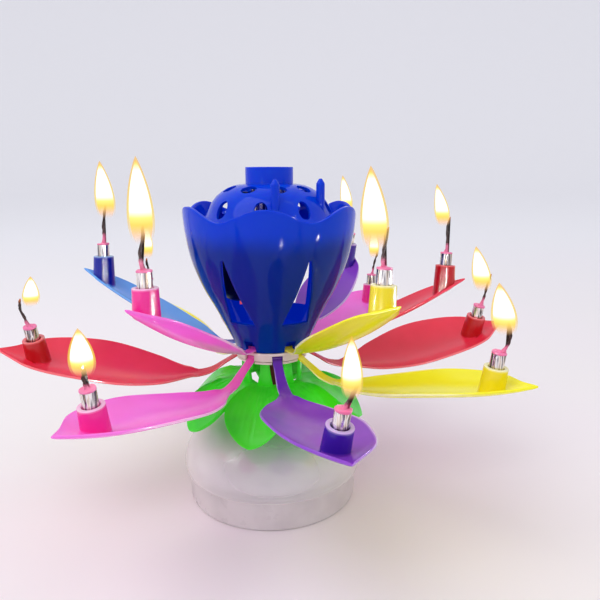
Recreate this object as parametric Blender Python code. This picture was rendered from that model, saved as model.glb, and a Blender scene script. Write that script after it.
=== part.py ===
"""Musical birthday candle in the shape of a lotus flower.

A round base holds a motor, its gears, cells and a sound board under two domes, one white
and one clear. A spindle rises from it and carries the flower: a green calyx, a ring with
eight lower petals, a blue bud cup with six upper petals, and a pierced pod with the
fountain. Every petal is one moulding of hinge pin, strap, blade and candle holder.

Units are metres, Z points up, and the origin is on the spindle's axis at table height.
Azimuth 0 points along -Y and grows towards +X.
"""

import math

import bmesh
import bpy
from mathutils import Matrix, Vector

# Clearances and cutting
FIT_GAP = 0.0003
SLIDE_GAP = 0.0003
CUT_OVERRUN = 0.002
MERGE_DISTANCE = 0.00001
SLOPE_STEP = 0.00001
SMOOTH_ANGLE = math.radians(38)

# Counts of sides and steps
ROUND_SIDES = 24
RING_SIDES = 24
DOME_STEPS = 5
DOME_INNER_STEPS = 3
SMALL_SIDES = 12
ROD_SIDES = 6
HOLE_SIDES = 8
CANDLE_SIDES = 8

# White base cup, an open pan that stands on its flat floor
BASE_RADIUS = 0.0390
BASE_HEIGHT = 0.0134
BASE_WALL = 0.0018
BASE_FLOOR = 0.0018
BASE_FOOT_BEVEL = 0.0012
BOSS_RADIUS = 0.0050
BOSS_HEIGHT = 0.0052

# White inner housing, a dome whose flange lies on the rim of the base
FLANGE_THICKNESS = 0.0010
FLANGE_INSET = 0.0003
HOUSING_INSET = 0.0020
HOUSING_RISE = 0.0240
HOUSING_WALL = 0.0014

# Clear cover, a taller dome whose inner lip lies on the flange
COVER_OVERHANG = 0.0023
COVER_RISE = 0.0257
COVER_WALL = 0.0015
COVER_SKIRT_HEIGHT = 0.0033
COVER_SKIRT_TAPER = 0.0007
COVER_LIP_THICKNESS = 0.0010
COVER_LIP_REACH = 0.0021

# Maroon spindle on the flower's axis
SPINDLE_RADIUS = 0.0030
SPINDLE_FOOT_RADIUS = 0.0020
SPINDLE_SHOULDER_RADIUS = 0.0042
SPINDLE_HOLE_GAP = 0.0006

# Gears between the motor and the spindle
GEAR_MODULE = 0.0008
GEAR_TEETH = 27
PINION_TEETH = 9
GEAR_THICKNESS = 0.0035
GEAR_LEVEL = 0.0195
TOOTH_BACKLASH = 0.0003
TOOTH_TIP_share = 0.42
ADDENDUM_share = 0.85
DEDENDUM_share = 1.25

# Motor
MOTOR_RADIUS = 0.0075
MOTOR_HEIGHT = 0.0150
MOTOR_NECK_RADIUS = 0.0025
MOTOR_SHAFT_RADIUS = 0.00075

# Sound parts and cells on the floor of the base
BOARD_LENGTH = 0.0260
BOARD_WIDTH = 0.0140
BOARD_THICKNESS = 0.0012
BOARD_WALL_GAP = 0.0097
CHIP_SIZE = 0.0050
CHIP_HEIGHT = 0.0014
CHIP_OFFSET = 0.0070
PIEZO_RADIUS = 0.0090
PIEZO_THICKNESS = 0.0006
PIEZO_WALL_GAP = 0.0010
PIEZO_AZIMUTH = math.radians(163)
CELL_RADIUS = 0.0058
CELL_THICKNESS = 0.0054
CELL_WALL_GAP = 0.0044
CELL_SPACING = 0.0140
CELL_FIRST_AZIMUTH = math.radians(-6)
CELL_COUNT = 2

# Green calyx of eight drooping leaves, one between every two lower petals
CALYX_LEVEL = 0.0560
CALYX_THICKNESS = 0.0014
CALYX_HUB_RADIUS = 0.0056
CALYX_HUB_DEPTH = 0.0110
CALYX_SHOULDER_RADIUS = 0.0160
LEAF_COUNT = 8
LEAF_AZIMUTH = math.radians(-13.5)
LEAF_REACH = 0.0426
LEAF_DROOP = 0.0165
LEAF_EDGE_DROP = 0.0024
LEAF_HALF_WIDTH = 0.0130
LEAF_ROWS = 3
LEAF_FADE_share = 0.5
# Outline of half a leaf: share of the half angle between leaves, share of the leaf's reach
LEAF_OUTLINE_shares = ((0, 1), (0.38, 0.95), (0.78, 0.80), (1, 0.58))
STRUT_BASE_WIDTH = 0.0052
STRUT_TOP_WIDTH = 0.0028
STRUT_THICKNESS = 0.0016
STRUT_RADIUS = 0.0130

# Pale ring that holds the lower hinge pins, and the plate that keeps them in
RING_RADIUS = 0.0166
RING_LEVEL = 0.0679
RING_THICKNESS = 0.0038
RING_BEVEL = 0.0004
RING_SLOT_HEIGHT = 0.0027
KEEPER_RADIUS = 0.0162
KEEPER_THICKNESS = 0.0010

# Blue bud cup
CUP_RADIUS = 0.0382
CUP_HEIGHT = 0.0635
CUP_WALL = 0.0014
CUP_FLOOR = 0.0066
CUP_SIDES = 30
CUP_LOBES = 6
CUP_LOBE_AZIMUTH = math.radians(-3)
CUP_RIM_DROP = 0.0054
CUP_CREASE = 0.0005
CUP_SLOT_HEIGHT = 0.0053
# Outer profile: share of the rim radius, share of the height
CUP_PROFILE_shares = ((0.430, 0), (0.445, 0.030), (0.493, 0.087), (0.675, 0.301), (0.800, 0.440),
                      (0.921, 0.635), (0.976, 0.816), (1, 1))
CUP_RIM_POWER = 0.7
LEDGE_DEPTH = 0.0095
LEDGE_THICKNESS = 0.0016
LEDGE_REACH = 0.0042
WINDOW_BOTTOM = 0.0140
WINDOW_LEDGE_GAP = 0.0096
WINDOW_HALF_WIDTH = 0.0064
WINDOW_TOP_HALF_WIDTH = 0.0007

# Pierced pod on the cup's ledge
POD_RADIUS = 0.0330
POD_RISE = 0.0179
POD_WALL = 0.0013
# Outer profile: share of the radius, share of the rise
POD_PROFILE_shares = ((1, 0), (0.84, 0.27), (0.755, 0.58), (0.627, 0.82), (0.464, 0.96), (0.315, 1))
POD_BOSS_HEIGHT = 0.0070
POD_BOSS_WALL = 0.0021
POD_HOLE_COUNT = 9
POD_HOLE_LENGTH = 0.0080
# Two rows of oval holes: share of the pod's radius, share of its rise
POD_LOWER_HOLES_shares = (0.797, 0.43)
POD_UPPER_HOLES_shares = (0.55, 0.89)
# Half sizes of the holes, down the slope and round the pod
POD_LOWER_HOLE_HALVES = (0.0042, 0.0028)
POD_UPPER_HOLE_HALVES = (0.0030, 0.0034)
# Lean of the holes above level, and the azimuth of the first of each row
POD_LOWER_HOLE_LEAN = math.radians(28)
POD_UPPER_HOLE_LEAN = math.radians(65)
POD_LOWER_HOLE_AZIMUTH = math.radians(-48)
POD_UPPER_HOLE_AZIMUTH = math.radians(-68)
POST_RADIUS = 0.0018
POST_TIP_RADIUS = 0.0006
POST_TIP_HEIGHT = 0.0020
POST_HEIGHT = 0.0145
POST_RING_RADIUS = 0.0250
POST_LEVEL = 0.0057
POST_AZIMUTHS = (math.radians(5), math.radians(58))

# Fountain in the pod's boss, and the dark capsule that hangs beside it in the cup
FOUNTAIN_WALL = 0.0014
FOUNTAIN_LENGTH = 0.0290
FOUNTAIN_SINK = 0.0016
FOUNTAIN_FLOOR = 0.0030
CAPSULE_RADIUS = 0.0105
CAPSULE_LEVEL = 0.0200
CAPSULE_POD_GAP = 0.0098
CAPSULE_NECK_RADIUS = 0.0035
CAPSULE_CENTRE = (-0.0130, 0.0025)
# Body profile: share of its radius, share of its height
CAPSULE_PROFILE_shares = ((0, 0), (0.57, 0.025), (0.86, 0.12), (1, 0.29), (1, 0.82), (0.76, 0.96))

# Every petal
PIN_RADIUS = 0.0009
PIN_HALF_LENGTH = 0.0040
PETAL_THICKNESS = 0.0014
STRAP_WIDTH = 0.0042
STRAP_TAIL = 0.0007
STRAP_BEND_START = 0.0048
STRAP_BEND_LENGTH = 0.0150
HOLDER_RADIUS = 0.0045
HOLDER_FOOT_RADIUS = 0.0048
HOLDER_ROOT = 0.0004
BORE_FLOOR = 0.0010
BLADE_TIP_HALF_WIDTH = 0.0004
BLADE_COLUMNS = 3
STRAP_STATION_shares = (0.3, 0.65)
# Half outline of a blade: share of its length, share of its half width
BLADE_OUTLINE_shares = ((0, 0.16), (0.08, 0.32), (0.22, 0.70), (0.44, 1), (0.66, 0.95),
                        (0.83, 0.70), (0.93, 0.29), (1, 0.02))

# Lower tier of petals
LOWER_COUNT = 8
LOWER_AZIMUTH = math.radians(-81)
LOWER_HINGE_RADIUS = 0.0140
LOWER_REACH = 0.1030
LOWER_DIP = 0.0092
LOWER_HALF_WIDTH = 0.0180
LOWER_EDGE_RISE = 0.0045
LOWER_BLADE_START = 0.0190
LOWER_HOLDER_INSET = 0.0160
LOWER_HOLDER_HEIGHT = 0.0095
LOWER_HOLDER_TILT = math.radians(6)
# Centre line of a lower petal: share of its reach, share of its dip
LOWER_LINE_shares = ((0, 0), (0.078, -0.49), (0.131, -0.83), (0.19, -0.97), (0.33, -1), (0.48, -0.76),
                     (0.64, -0.33), (0.82, 0.15), (0.93, 0.52), (1, 0.84))

# Upper tier of petals
UPPER_COUNT = 6
UPPER_AZIMUTH = math.radians(-92)
UPPER_HINGE_RADIUS = 0.0140
UPPER_REACH = 0.0730
UPPER_RISE = 0.0354
UPPER_HALF_WIDTH = 0.0130
UPPER_EDGE_RISE = 0.0030
UPPER_BLADE_START = 0.0090
UPPER_HOLDER_INSET = 0.0090
UPPER_HOLDER_HEIGHT = 0.0113
UPPER_HOLDER_TILT = math.radians(-3)
# Centre line of an upper petal: share of its reach, share of its rise
UPPER_LINE_shares = ((0, 0), (0.05, 0), (0.11, 0.009), (0.22, 0.088), (0.40, 0.234), (0.63, 0.488),
                     (0.85, 0.786), (1, 1))

# How each thin strap lies as photographed, in degrees: lift, sideways lean, twist
LOWER_LIES = {
    "red_left": (0, 0, -11),
    "pink_front": (-2, 2, 0),
    "purple_front": (-3, 2, -7),
    "yellow_right": (-1, 0, -1),
    "red_right": (-1, 1, 12),
    "pink_back": (1, 0, 0),
    "purple_back": (0, 0, 0),
    "yellow_back": (6.8, -10, 0),
}
UPPER_LIES = {
    "blue_left": (-2.7, -10, 5),
    "pink_front": (-1.7, -0.5, 2),
    "yellow_front": (-1.3, 1, -5),
    "red_right": (-6.4, 6, -6),
    "purple_back": (-4, 0, 12),
    "red_back": (-5, -9, 0),
}

# Small candles
WAX_RADIUS = 0.00205
WAX_ABOVE_FOIL = 0.0004
FOIL_THICKNESS = 0.0003
FOIL_RISE = 0.0052
WICK_RADIUS = 0.00055
WICK_LENGTH = 0.0095
WICK_LEAN = 0.0030
WICK_STEPS = 2

# Places that follow from the sizes above
BASE_INSIDE_RADIUS = BASE_RADIUS - BASE_WALL
BOSS_TOP = BASE_FLOOR + BOSS_HEIGHT
HOUSING_RADIUS = BASE_RADIUS - HOUSING_INSET
COVER_RADIUS = BASE_RADIUS + COVER_OVERHANG
BOARD_DISTANCE = BASE_INSIDE_RADIUS - BOARD_WALL_GAP - BOARD_WIDTH / 2
PIEZO_DISTANCE = BASE_INSIDE_RADIUS - PIEZO_WALL_GAP - PIEZO_RADIUS
CELL_DISTANCE = BASE_INSIDE_RADIUS - CELL_WALL_GAP - CELL_RADIUS
CELL_STEP = 2 * math.asin(CELL_SPACING / 2 / CELL_DISTANCE)
FLANGE_BOTTOM = BASE_HEIGHT + FIT_GAP
FLANGE_TOP = FLANGE_BOTTOM + FLANGE_THICKNESS
COVER_LIP_BOTTOM = FLANGE_TOP + FIT_GAP
COVER_LEVEL = FLANGE_BOTTOM + COVER_SKIRT_HEIGHT
GEAR_DISTANCE = GEAR_MODULE * (GEAR_TEETH + PINION_TEETH) / 2
SHAFT_HOLE_RADIUS = SPINDLE_RADIUS + FIT_GAP
SLOT_WIDTH = STRAP_WIDTH + 2 * SLIDE_GAP
RING_TOP = RING_LEVEL + RING_THICKNESS
KEEPER_TOP = RING_LEVEL - FIT_GAP
KEEPER_LEVEL = KEEPER_TOP - KEEPER_THICKNESS
CUP_LEVEL = RING_TOP + FIT_GAP
LOWER_PIN_LEVEL = RING_LEVEL + PIN_RADIUS
UPPER_PIN_LEVEL = CUP_LEVEL + PIN_RADIUS
LEDGE_TOP = CUP_LEVEL + CUP_HEIGHT - LEDGE_DEPTH
LEDGE_BOTTOM = LEDGE_TOP - LEDGE_THICKNESS
WINDOW_LEVEL = CUP_LEVEL + WINDOW_BOTTOM
WINDOW_HEIGHT = LEDGE_BOTTOM - WINDOW_LEDGE_GAP - WINDOW_LEVEL
POD_LEVEL = LEDGE_TOP + FIT_GAP
POD_BOSS_RADIUS = POD_RADIUS * POD_PROFILE_shares[-1][0]
POD_BORE_RADIUS = POD_BOSS_RADIUS - POD_BOSS_WALL
POD_TOP = POD_LEVEL + POD_RISE + POD_BOSS_HEIGHT
CAPSULE_BOTTOM = CUP_LEVEL + CAPSULE_LEVEL
CAPSULE_HEIGHT = POD_LEVEL - CAPSULE_POD_GAP - CAPSULE_BOTTOM
FOIL_INNER_RADIUS = WAX_RADIUS + FIT_GAP
FOIL_OUTER_RADIUS = FOIL_INNER_RADIUS + FOIL_THICKNESS
BORE_RADIUS = FOIL_OUTER_RADIUS + FIT_GAP
LOWER_HOLDER_PLACE = LOWER_REACH - LOWER_HOLDER_INSET
UPPER_HOLDER_PLACE = UPPER_REACH - UPPER_HOLDER_INSET
LOWER_STEP = math.tau / LOWER_COUNT
UPPER_STEP = math.tau / UPPER_COUNT


def heading(azimuth):
    """Level unit vector that points out from the axis at an azimuth."""
    return Vector((math.sin(azimuth), -math.cos(azimuth), 0))


def turn_to(azimuth):
    """Turn that takes +X to the given azimuth."""
    return Matrix.Rotation(azimuth - math.pi / 2, 4, "Z")


def ease(share):
    """Smooth step from 0 to 1."""
    share = min(max(share, 0), 1)
    return share * share * (3 - 2 * share)


def between(points, place):
    """Second value of a table of points at a place along the first, on a smooth curve."""
    last = len(points) - 1
    index = 0
    while index < last - 1 and points[index + 1][0] < place:
        index += 1
    (x0, y0), (x1, y1) = points[index], points[index + 1]
    before, after = points[max(index - 1, 0)], points[min(index + 2, last)]
    width = x1 - x0
    slope0 = (y1 - before[1]) / (x1 - before[0])
    slope1 = (after[1] - y0) / (after[0] - x0)
    t = (place - x0) / width
    hermite = (2 * t ** 3 - 3 * t ** 2 + 1, t ** 3 - 2 * t ** 2 + t,
               3 * t ** 2 - 2 * t ** 3, t ** 3 - t ** 2)
    return hermite[0] * y0 + hermite[1] * width * slope0 + hermite[2] * y1 + hermite[3] * width * slope1


def plastic(name, colour, roughness, metallic=0):
    """Principled material with one colour."""
    made = bpy.data.materials.new(name)
    made.use_nodes = True
    shader = made.node_tree.nodes["Principled BSDF"]
    shader.inputs["Base Color"].default_value = (*colour, 1)
    shader.inputs["Roughness"].default_value = roughness
    shader.inputs["Metallic"].default_value = metallic
    made.diffuse_color = (*colour, 1)
    return made


def place_solid(name, shape, material, parent=None):
    """Object that holds a finished bmesh, with its faces pointing out."""
    bmesh.ops.recalc_face_normals(shape, faces=shape.faces)
    mesh = bpy.data.meshes.new(name)
    shape.to_mesh(mesh)
    shape.free()
    mesh.shade_smooth()
    mesh.set_sharp_from_angle(angle=SMOOTH_ANGLE)
    if material:
        mesh.materials.append(material)
    made = bpy.data.objects.new(name, mesh)
    bpy.context.collection.objects.link(made)
    made.parent = parent
    return made


def combine(target, tool, operation):
    """Joins a solid to another, or cuts it away, and keeps only the result."""
    modifier = target.modifiers.new(operation.title(), "BOOLEAN")
    modifier.operation = operation
    modifier.object = tool
    graph = bpy.context.evaluated_depsgraph_get()
    result = bpy.data.meshes.new_from_object(target.evaluated_get(graph))
    target.modifiers.remove(modifier)
    target.data = result
    result.shade_smooth()
    result.set_sharp_from_angle(angle=SMOOTH_ANGLE)
    bpy.data.objects.remove(tool)


def turned_shape(outline, sides, turn=0):
    """Solid of revolution about Z, from its closed half section of (radius, height)."""
    shape = bmesh.new()
    corners = [shape.verts.new((radius, 0, height)) for radius, height in outline]
    edges = []
    for start, end in zip(corners, corners[1:] + corners[:1]):
        if start.co.x > 0 or end.co.x > 0:
            edges.append(shape.edges.new((start, end)))
    bmesh.ops.spin(shape, geom=corners + edges, cent=(0, 0, 0), axis=(0, 0, 1), angle=math.tau,
                   steps=sides, use_merge=True)
    bmesh.ops.remove_doubles(shape, verts=shape.verts, dist=MERGE_DISTANCE)
    bmesh.ops.rotate(shape, verts=shape.verts, cent=(0, 0, 0), matrix=Matrix.Rotation(turn, 3, "Z"))
    return shape


def turned(name, outline, sides, material, parent=None):
    """Turned solid as an object."""
    return place_solid(name, turned_shape(outline, sides), material, parent)


def stacked_shape(stations, sides):
    """Solid through level circles, each given as (centre, radius)."""
    shape = bmesh.new()
    loops = []
    for centre, radius in stations:
        made = bmesh.ops.create_circle(shape, segments=sides, radius=radius,
                                       matrix=Matrix.Translation(centre))
        loops.append(made["verts"])
    for lower, upper in zip(loops, loops[1:]):
        for index in range(sides):
            after = (index + 1) % sides
            shape.faces.new((lower[index], lower[after], upper[after], upper[index]))
    shape.faces.new(loops[0])
    shape.faces.new(loops[-1])
    return shape


def add_block(shape, size, place, top_share=1):
    """Adds a block with its middle at a place, whose top may be narrower along Y."""
    made = bmesh.ops.create_cube(shape, size=1)["verts"]
    for corner in made:
        if corner.co.z > 0:
            corner.co.y *= top_share
        corner.co.x *= size[0]
        corner.co.y *= size[1]
        corner.co.z *= size[2]
    bmesh.ops.transform(shape, verts=made, matrix=place)
    return made


def disc_shape(radius, thickness, level, sides):
    """Plain disc that stands at a level."""
    stations = [(Vector((0, 0, level)), radius), (Vector((0, 0, level + thickness)), radius)]
    return stacked_shape(stations, sides)


def blocks_round(count, first, inner, outer, half_width, bottom, top):
    """Cutter of equal level blocks round the axis, from an inner to an outer radius."""
    shape = bmesh.new()
    for index in range(count):
        middle = Matrix.Translation(((inner + outer) / 2, 0, (bottom + top) / 2))
        place = turn_to(first + index * math.tau / count) @ middle
        add_block(shape, (outer - inner, 2 * half_width, top - bottom), place)
    return place_solid("cutter", shape, None)


def inset_profile(profile, distance):
    """Profile moved inwards by a wall, square to itself."""
    moved = []
    last = len(profile) - 1
    for index, (radius, height) in enumerate(profile):
        before, after = profile[max(index - 1, 0)], profile[min(index + 1, last)]
        along = Vector((after[0] - before[0], after[1] - before[1])).normalized()
        moved.append((radius - distance * along.y, height + distance * along.x))
    return moved


def dome_profile(radius, rise, level, hole_radius, steps):
    """Quarter of an ellipse, from its widest circle up to the rim of a hole at its top."""
    last = math.acos(hole_radius / radius)
    angles = [last * index / steps for index in range(steps + 1)]
    return [(radius * math.cos(angle), level + rise * math.sin(angle)) for angle in angles]


def make_base_cup(material):
    """White pan of the base with the boss that the spindle stands in."""
    bore = SPINDLE_FOOT_RADIUS + FIT_GAP
    outline = [(0, 0), (BASE_RADIUS - BASE_FOOT_BEVEL, 0), (BASE_RADIUS, BASE_FOOT_BEVEL),
               (BASE_RADIUS, BASE_HEIGHT), (BASE_INSIDE_RADIUS, BASE_HEIGHT),
               (BASE_INSIDE_RADIUS, BASE_FLOOR), (BOSS_RADIUS, BASE_FLOOR), (BOSS_RADIUS, BOSS_TOP),
               (bore, BOSS_TOP), (bore, BASE_FLOOR), (0, BASE_FLOOR)]
    return turned("base_cup", outline, ROUND_SIDES, material)


def make_inner_housing(material):
    """White dome over the works, with a flange on the rim of the base."""
    hole = SPINDLE_RADIUS + SPINDLE_HOLE_GAP
    outside = dome_profile(HOUSING_RADIUS, HOUSING_RISE, FLANGE_TOP, hole, DOME_STEPS)
    inside = dome_profile(HOUSING_RADIUS - HOUSING_WALL, HOUSING_RISE - HOUSING_WALL, FLANGE_TOP, hole,
                          DOME_INNER_STEPS)
    edge = BASE_RADIUS - FLANGE_INSET
    outline = [(edge, FLANGE_BOTTOM), (edge, FLANGE_TOP)] + outside + inside[::-1]
    outline.append((HOUSING_RADIUS - HOUSING_WALL, FLANGE_BOTTOM))
    return turned("inner_housing", outline, ROUND_SIDES, material)


def make_clear_cover(material):
    """Clear dome outside the housing, whose inner lip lies on the flange."""
    hole = SPINDLE_RADIUS + SPINDLE_HOLE_GAP
    outside = dome_profile(COVER_RADIUS, COVER_RISE, COVER_LEVEL, hole, DOME_STEPS)
    inner_radius = COVER_RADIUS - COVER_WALL
    inside = dome_profile(inner_radius, COVER_RISE - COVER_WALL, COVER_LEVEL, hole, DOME_INNER_STEPS)
    lip_top = COVER_LIP_BOTTOM + COVER_LIP_THICKNESS
    lip_edge = inner_radius - COVER_LIP_REACH
    skirt_inside = BASE_RADIUS - FLANGE_INSET + FIT_GAP
    outline = [(COVER_RADIUS - COVER_SKIRT_TAPER, FLANGE_BOTTOM)] + outside + inside[::-1]
    outline += [(inner_radius, lip_top), (lip_edge, lip_top), (lip_edge, COVER_LIP_BOTTOM),
                (skirt_inside, COVER_LIP_BOTTOM), (skirt_inside, FLANGE_BOTTOM)]
    return turned("clear_cover", outline, ROUND_SIDES, material)


def make_spindle(material, parent):
    """Spindle with a foot in the boss, a shoulder under the gear, and a long round post."""
    foot = BASE_FLOOR + FIT_GAP
    shoulder_bottom = BOSS_TOP + FIT_GAP
    shoulder_top = GEAR_LEVEL - FIT_GAP
    top = CUP_LEVEL + CUP_FLOOR
    outline = [(0, foot), (SPINDLE_FOOT_RADIUS, foot), (SPINDLE_FOOT_RADIUS, shoulder_bottom),
               (SPINDLE_SHOULDER_RADIUS, shoulder_bottom), (SPINDLE_SHOULDER_RADIUS, shoulder_top),
               (SPINDLE_RADIUS, shoulder_top), (SPINDLE_RADIUS, top), (0, top)]
    return turned("spindle", outline, SMALL_SIDES, material, parent)


def make_gear(name, teeth, bore, turn, material, parent=None):
    """Spur gear with straight-sided teeth between root and tip, bored for its shaft."""
    pitch_radius = GEAR_MODULE * teeth / 2
    root = pitch_radius - DEDENDUM_share * GEAR_MODULE
    tip = pitch_radius + ADDENDUM_share * GEAR_MODULE
    pitch_angle = math.tau / teeth
    flank = pitch_angle / 2 - TOOTH_BACKLASH / pitch_radius
    shape = bmesh.new()
    outline = []
    for tooth in range(teeth):
        middle = turn + tooth * pitch_angle
        corners = ((root, -flank * (1 - TOOTH_TIP_share)), (tip, -flank * TOOTH_TIP_share / 2),
                   (tip, flank * TOOTH_TIP_share / 2), (root, flank * (1 - TOOTH_TIP_share)))
        for radius, angle in corners:
            way = Vector((math.cos(middle + angle), math.sin(middle + angle), 0))
            outline.append(shape.verts.new(way * radius))
    face = shape.faces.new(outline)
    raised = bmesh.ops.extrude_face_region(shape, geom=[face], use_keep_orig=True)["geom"]
    lifted = [item for item in raised if isinstance(item, bmesh.types.BMVert)]
    bmesh.ops.translate(shape, verts=lifted, vec=(0, 0, GEAR_THICKNESS))
    gear = place_solid(name, shape, material, parent)
    hole = disc_shape(bore, GEAR_THICKNESS + 2 * CUT_OVERRUN, -CUT_OVERRUN, SMALL_SIDES)
    combine(gear, place_solid("cutter", hole, None), "DIFFERENCE")
    return gear


def make_motor(material):
    """Round motor can that stands on the floor of the base, shaft upwards."""
    bottom = BASE_FLOOR + FIT_GAP
    top = bottom + MOTOR_HEIGHT
    neck_top = GEAR_LEVEL - FIT_GAP
    shaft_top = GEAR_LEVEL + GEAR_THICKNESS
    outline = [(0, bottom), (MOTOR_RADIUS, bottom), (MOTOR_RADIUS, top), (MOTOR_NECK_RADIUS, top),
               (MOTOR_NECK_RADIUS, neck_top), (MOTOR_SHAFT_RADIUS, neck_top),
               (MOTOR_SHAFT_RADIUS, shaft_top), (0, shaft_top)]
    motor = turned("motor", outline, SMALL_SIDES, material)
    motor.location = (GEAR_DISTANCE, 0, 0)
    return motor


def make_sound_board(material):
    """Small circuit board with three chips, flat on the floor of the base."""
    shape = bmesh.new()
    level = BASE_FLOOR + FIT_GAP
    middle = Matrix.Translation((-BOARD_DISTANCE, 0, level + BOARD_THICKNESS / 2))
    add_block(shape, (BOARD_WIDTH, BOARD_LENGTH, BOARD_THICKNESS), middle)
    board = place_solid("sound_board", shape, material)
    chips = bmesh.new()
    height = BOARD_THICKNESS / 2 + CHIP_HEIGHT
    for step in (-1, 0, 1):
        place = Matrix.Translation((-BOARD_DISTANCE, step * CHIP_OFFSET, level + height))
        add_block(chips, (CHIP_SIZE, CHIP_SIZE, 2 * CHIP_HEIGHT), place)
    combine(board, place_solid("cutter", chips, None), "UNION")
    return board


def make_piezo_disc(material):
    """Thin sounder disc on the floor of the base."""
    shape = disc_shape(PIEZO_RADIUS, PIEZO_THICKNESS, BASE_FLOOR + FIT_GAP, SMALL_SIDES)
    bmesh.ops.translate(shape, verts=shape.verts, vec=PIEZO_DISTANCE * heading(PIEZO_AZIMUTH))
    return place_solid("piezo_disc", shape, material)


def make_button_cells(material):
    """Two button cells side by side on the floor of the base."""
    for index in range(CELL_COUNT):
        shape = disc_shape(CELL_RADIUS, CELL_THICKNESS, BASE_FLOOR + FIT_GAP, SMALL_SIDES)
        cell = place_solid(f"button_cell_{index + 1}", shape, material)
        cell.location = CELL_DISTANCE * heading(CELL_FIRST_AZIMUTH + index * CELL_STEP)


def leaf_columns():
    """Places round the calyx as (azimuth from its leaf's middle, share of the reach there)."""
    half_angle = math.pi / LEAF_COUNT
    right = [(share * half_angle, reach) for share, reach in LEAF_OUTLINE_shares]
    left = [(-angle, reach) for angle, reach in right[1:-1]]
    return left[::-1] + right


def make_calyx(material, parent):
    """Green calyx: eight drooping leaves and eight struts on a disc with a hub."""
    shape = bmesh.new()
    columns = []
    for leaf in range(LEAF_COUNT):
        middle = LEAF_AZIMUTH + leaf * math.tau / LEAF_COUNT
        for angle, reach_share in leaf_columns():
            column = []
            inner = (CALYX_HUB_RADIUS + SHAFT_HOLE_RADIUS) / 2
            edge = reach_share * LEAF_REACH
            for row in range(LEAF_ROWS + 1):
                radius = inner + (edge - inner) * row / LEAF_ROWS
                out_share = max(radius - CALYX_SHOULDER_RADIUS, 0) / (LEAF_REACH - CALYX_SHOULDER_RADIUS)
                side_share = radius * math.sin(angle) / LEAF_HALF_WIDTH
                fade = ease(radius / CALYX_SHOULDER_RADIUS - LEAF_FADE_share)
                height = CALYX_LEVEL - LEAF_DROOP * out_share ** 2 - LEAF_EDGE_DROP * fade * side_share ** 2
                column.append(shape.verts.new(radius * heading(middle + angle) + Vector((0, 0, height))))
            columns.append(column)
    for this, following in zip(columns, columns[1:] + columns[:1]):
        for row in range(LEAF_ROWS):
            shape.faces.new((this[row], this[row + 1], following[row + 1], following[row]))
    bmesh.ops.recalc_face_normals(shape, faces=shape.faces)
    if shape.faces[0].normal.z < 0:
        bmesh.ops.reverse_faces(shape, faces=shape.faces)
    bmesh.ops.solidify(shape, geom=shape.faces[:], thickness=CALYX_THICKNESS)
    calyx = place_solid("calyx", shape, material, parent)
    hub_bottom = CALYX_LEVEL - CALYX_HUB_DEPTH
    hub_top = CALYX_LEVEL + CALYX_THICKNESS
    hub = [(SHAFT_HOLE_RADIUS, hub_bottom), (CALYX_HUB_RADIUS, hub_bottom), (CALYX_HUB_RADIUS, hub_top),
           (SHAFT_HOLE_RADIUS, hub_top)]
    combine(calyx, turned("cutter", hub, SMALL_SIDES, None), "UNION")
    struts = bmesh.new()
    bottom = CALYX_LEVEL - CALYX_THICKNESS / 2
    top = KEEPER_LEVEL - FIT_GAP
    for leaf in range(LEAF_COUNT):
        azimuth = LEAF_AZIMUTH + leaf * math.tau / LEAF_COUNT
        place = turn_to(azimuth) @ Matrix.Translation((STRUT_RADIUS, 0, (bottom + top) / 2))
        add_block(struts, (STRUT_THICKNESS, STRUT_BASE_WIDTH, top - bottom), place,
                  STRUT_TOP_WIDTH / STRUT_BASE_WIDTH)
    combine(calyx, place_solid("cutter", struts, None), "UNION")
    return calyx


def hinge_cutters(count, first, hinge_radius, level, slot_height, outer):
    """Cutters for straps and pins: open slots through the rim, and pockets for the pins."""
    slot_start = hinge_radius - STRAP_TAIL - PIN_RADIUS - SLIDE_GAP
    bottom = level - CUT_OVERRUN
    slots = blocks_round(count, first, slot_start, outer + CUT_OVERRUN, SLOT_WIDTH / 2, bottom,
                         level + slot_height)
    room = PIN_RADIUS + SLIDE_GAP
    pockets = blocks_round(count, first, hinge_radius - room, hinge_radius + room,
                           PIN_HALF_LENGTH + SLIDE_GAP, bottom, level + 2 * PIN_RADIUS + SLIDE_GAP)
    return slots, pockets


def make_petal_ring(material, parent):
    """Pale ring with open slots and pin pockets for the lower petals."""
    outline = [(SHAFT_HOLE_RADIUS, RING_LEVEL), (RING_RADIUS - RING_BEVEL, RING_LEVEL),
               (RING_RADIUS, RING_LEVEL + RING_BEVEL), (RING_RADIUS, RING_TOP - RING_BEVEL),
               (RING_RADIUS - RING_BEVEL, RING_TOP), (SHAFT_HOLE_RADIUS, RING_TOP)]
    ring = turned("petal_ring", outline, RING_SIDES, material, parent)
    for cutter in hinge_cutters(LOWER_COUNT, LOWER_AZIMUTH, LOWER_HINGE_RADIUS, RING_LEVEL,
                                RING_SLOT_HEIGHT, RING_RADIUS):
        combine(ring, cutter, "DIFFERENCE")
    return ring


def make_ring_keeper(material, parent):
    """Plate under the ring that keeps the lower hinge pins in, notched for the straps."""
    outline = [(SHAFT_HOLE_RADIUS, KEEPER_LEVEL), (KEEPER_RADIUS, KEEPER_LEVEL),
               (KEEPER_RADIUS, KEEPER_TOP), (SHAFT_HOLE_RADIUS, KEEPER_TOP)]
    keeper = turned("ring_keeper", outline, RING_SIDES, material, parent)
    notches = blocks_round(LOWER_COUNT, LOWER_AZIMUTH, LOWER_HINGE_RADIUS - STRAP_TAIL - PIN_RADIUS,
                           KEEPER_RADIUS + CUT_OVERRUN, SLOT_WIDTH / 2, KEEPER_LEVEL - CUT_OVERRUN,
                           KEEPER_TOP + CUT_OVERRUN)
    combine(keeper, notches, "DIFFERENCE")
    return keeper


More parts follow.
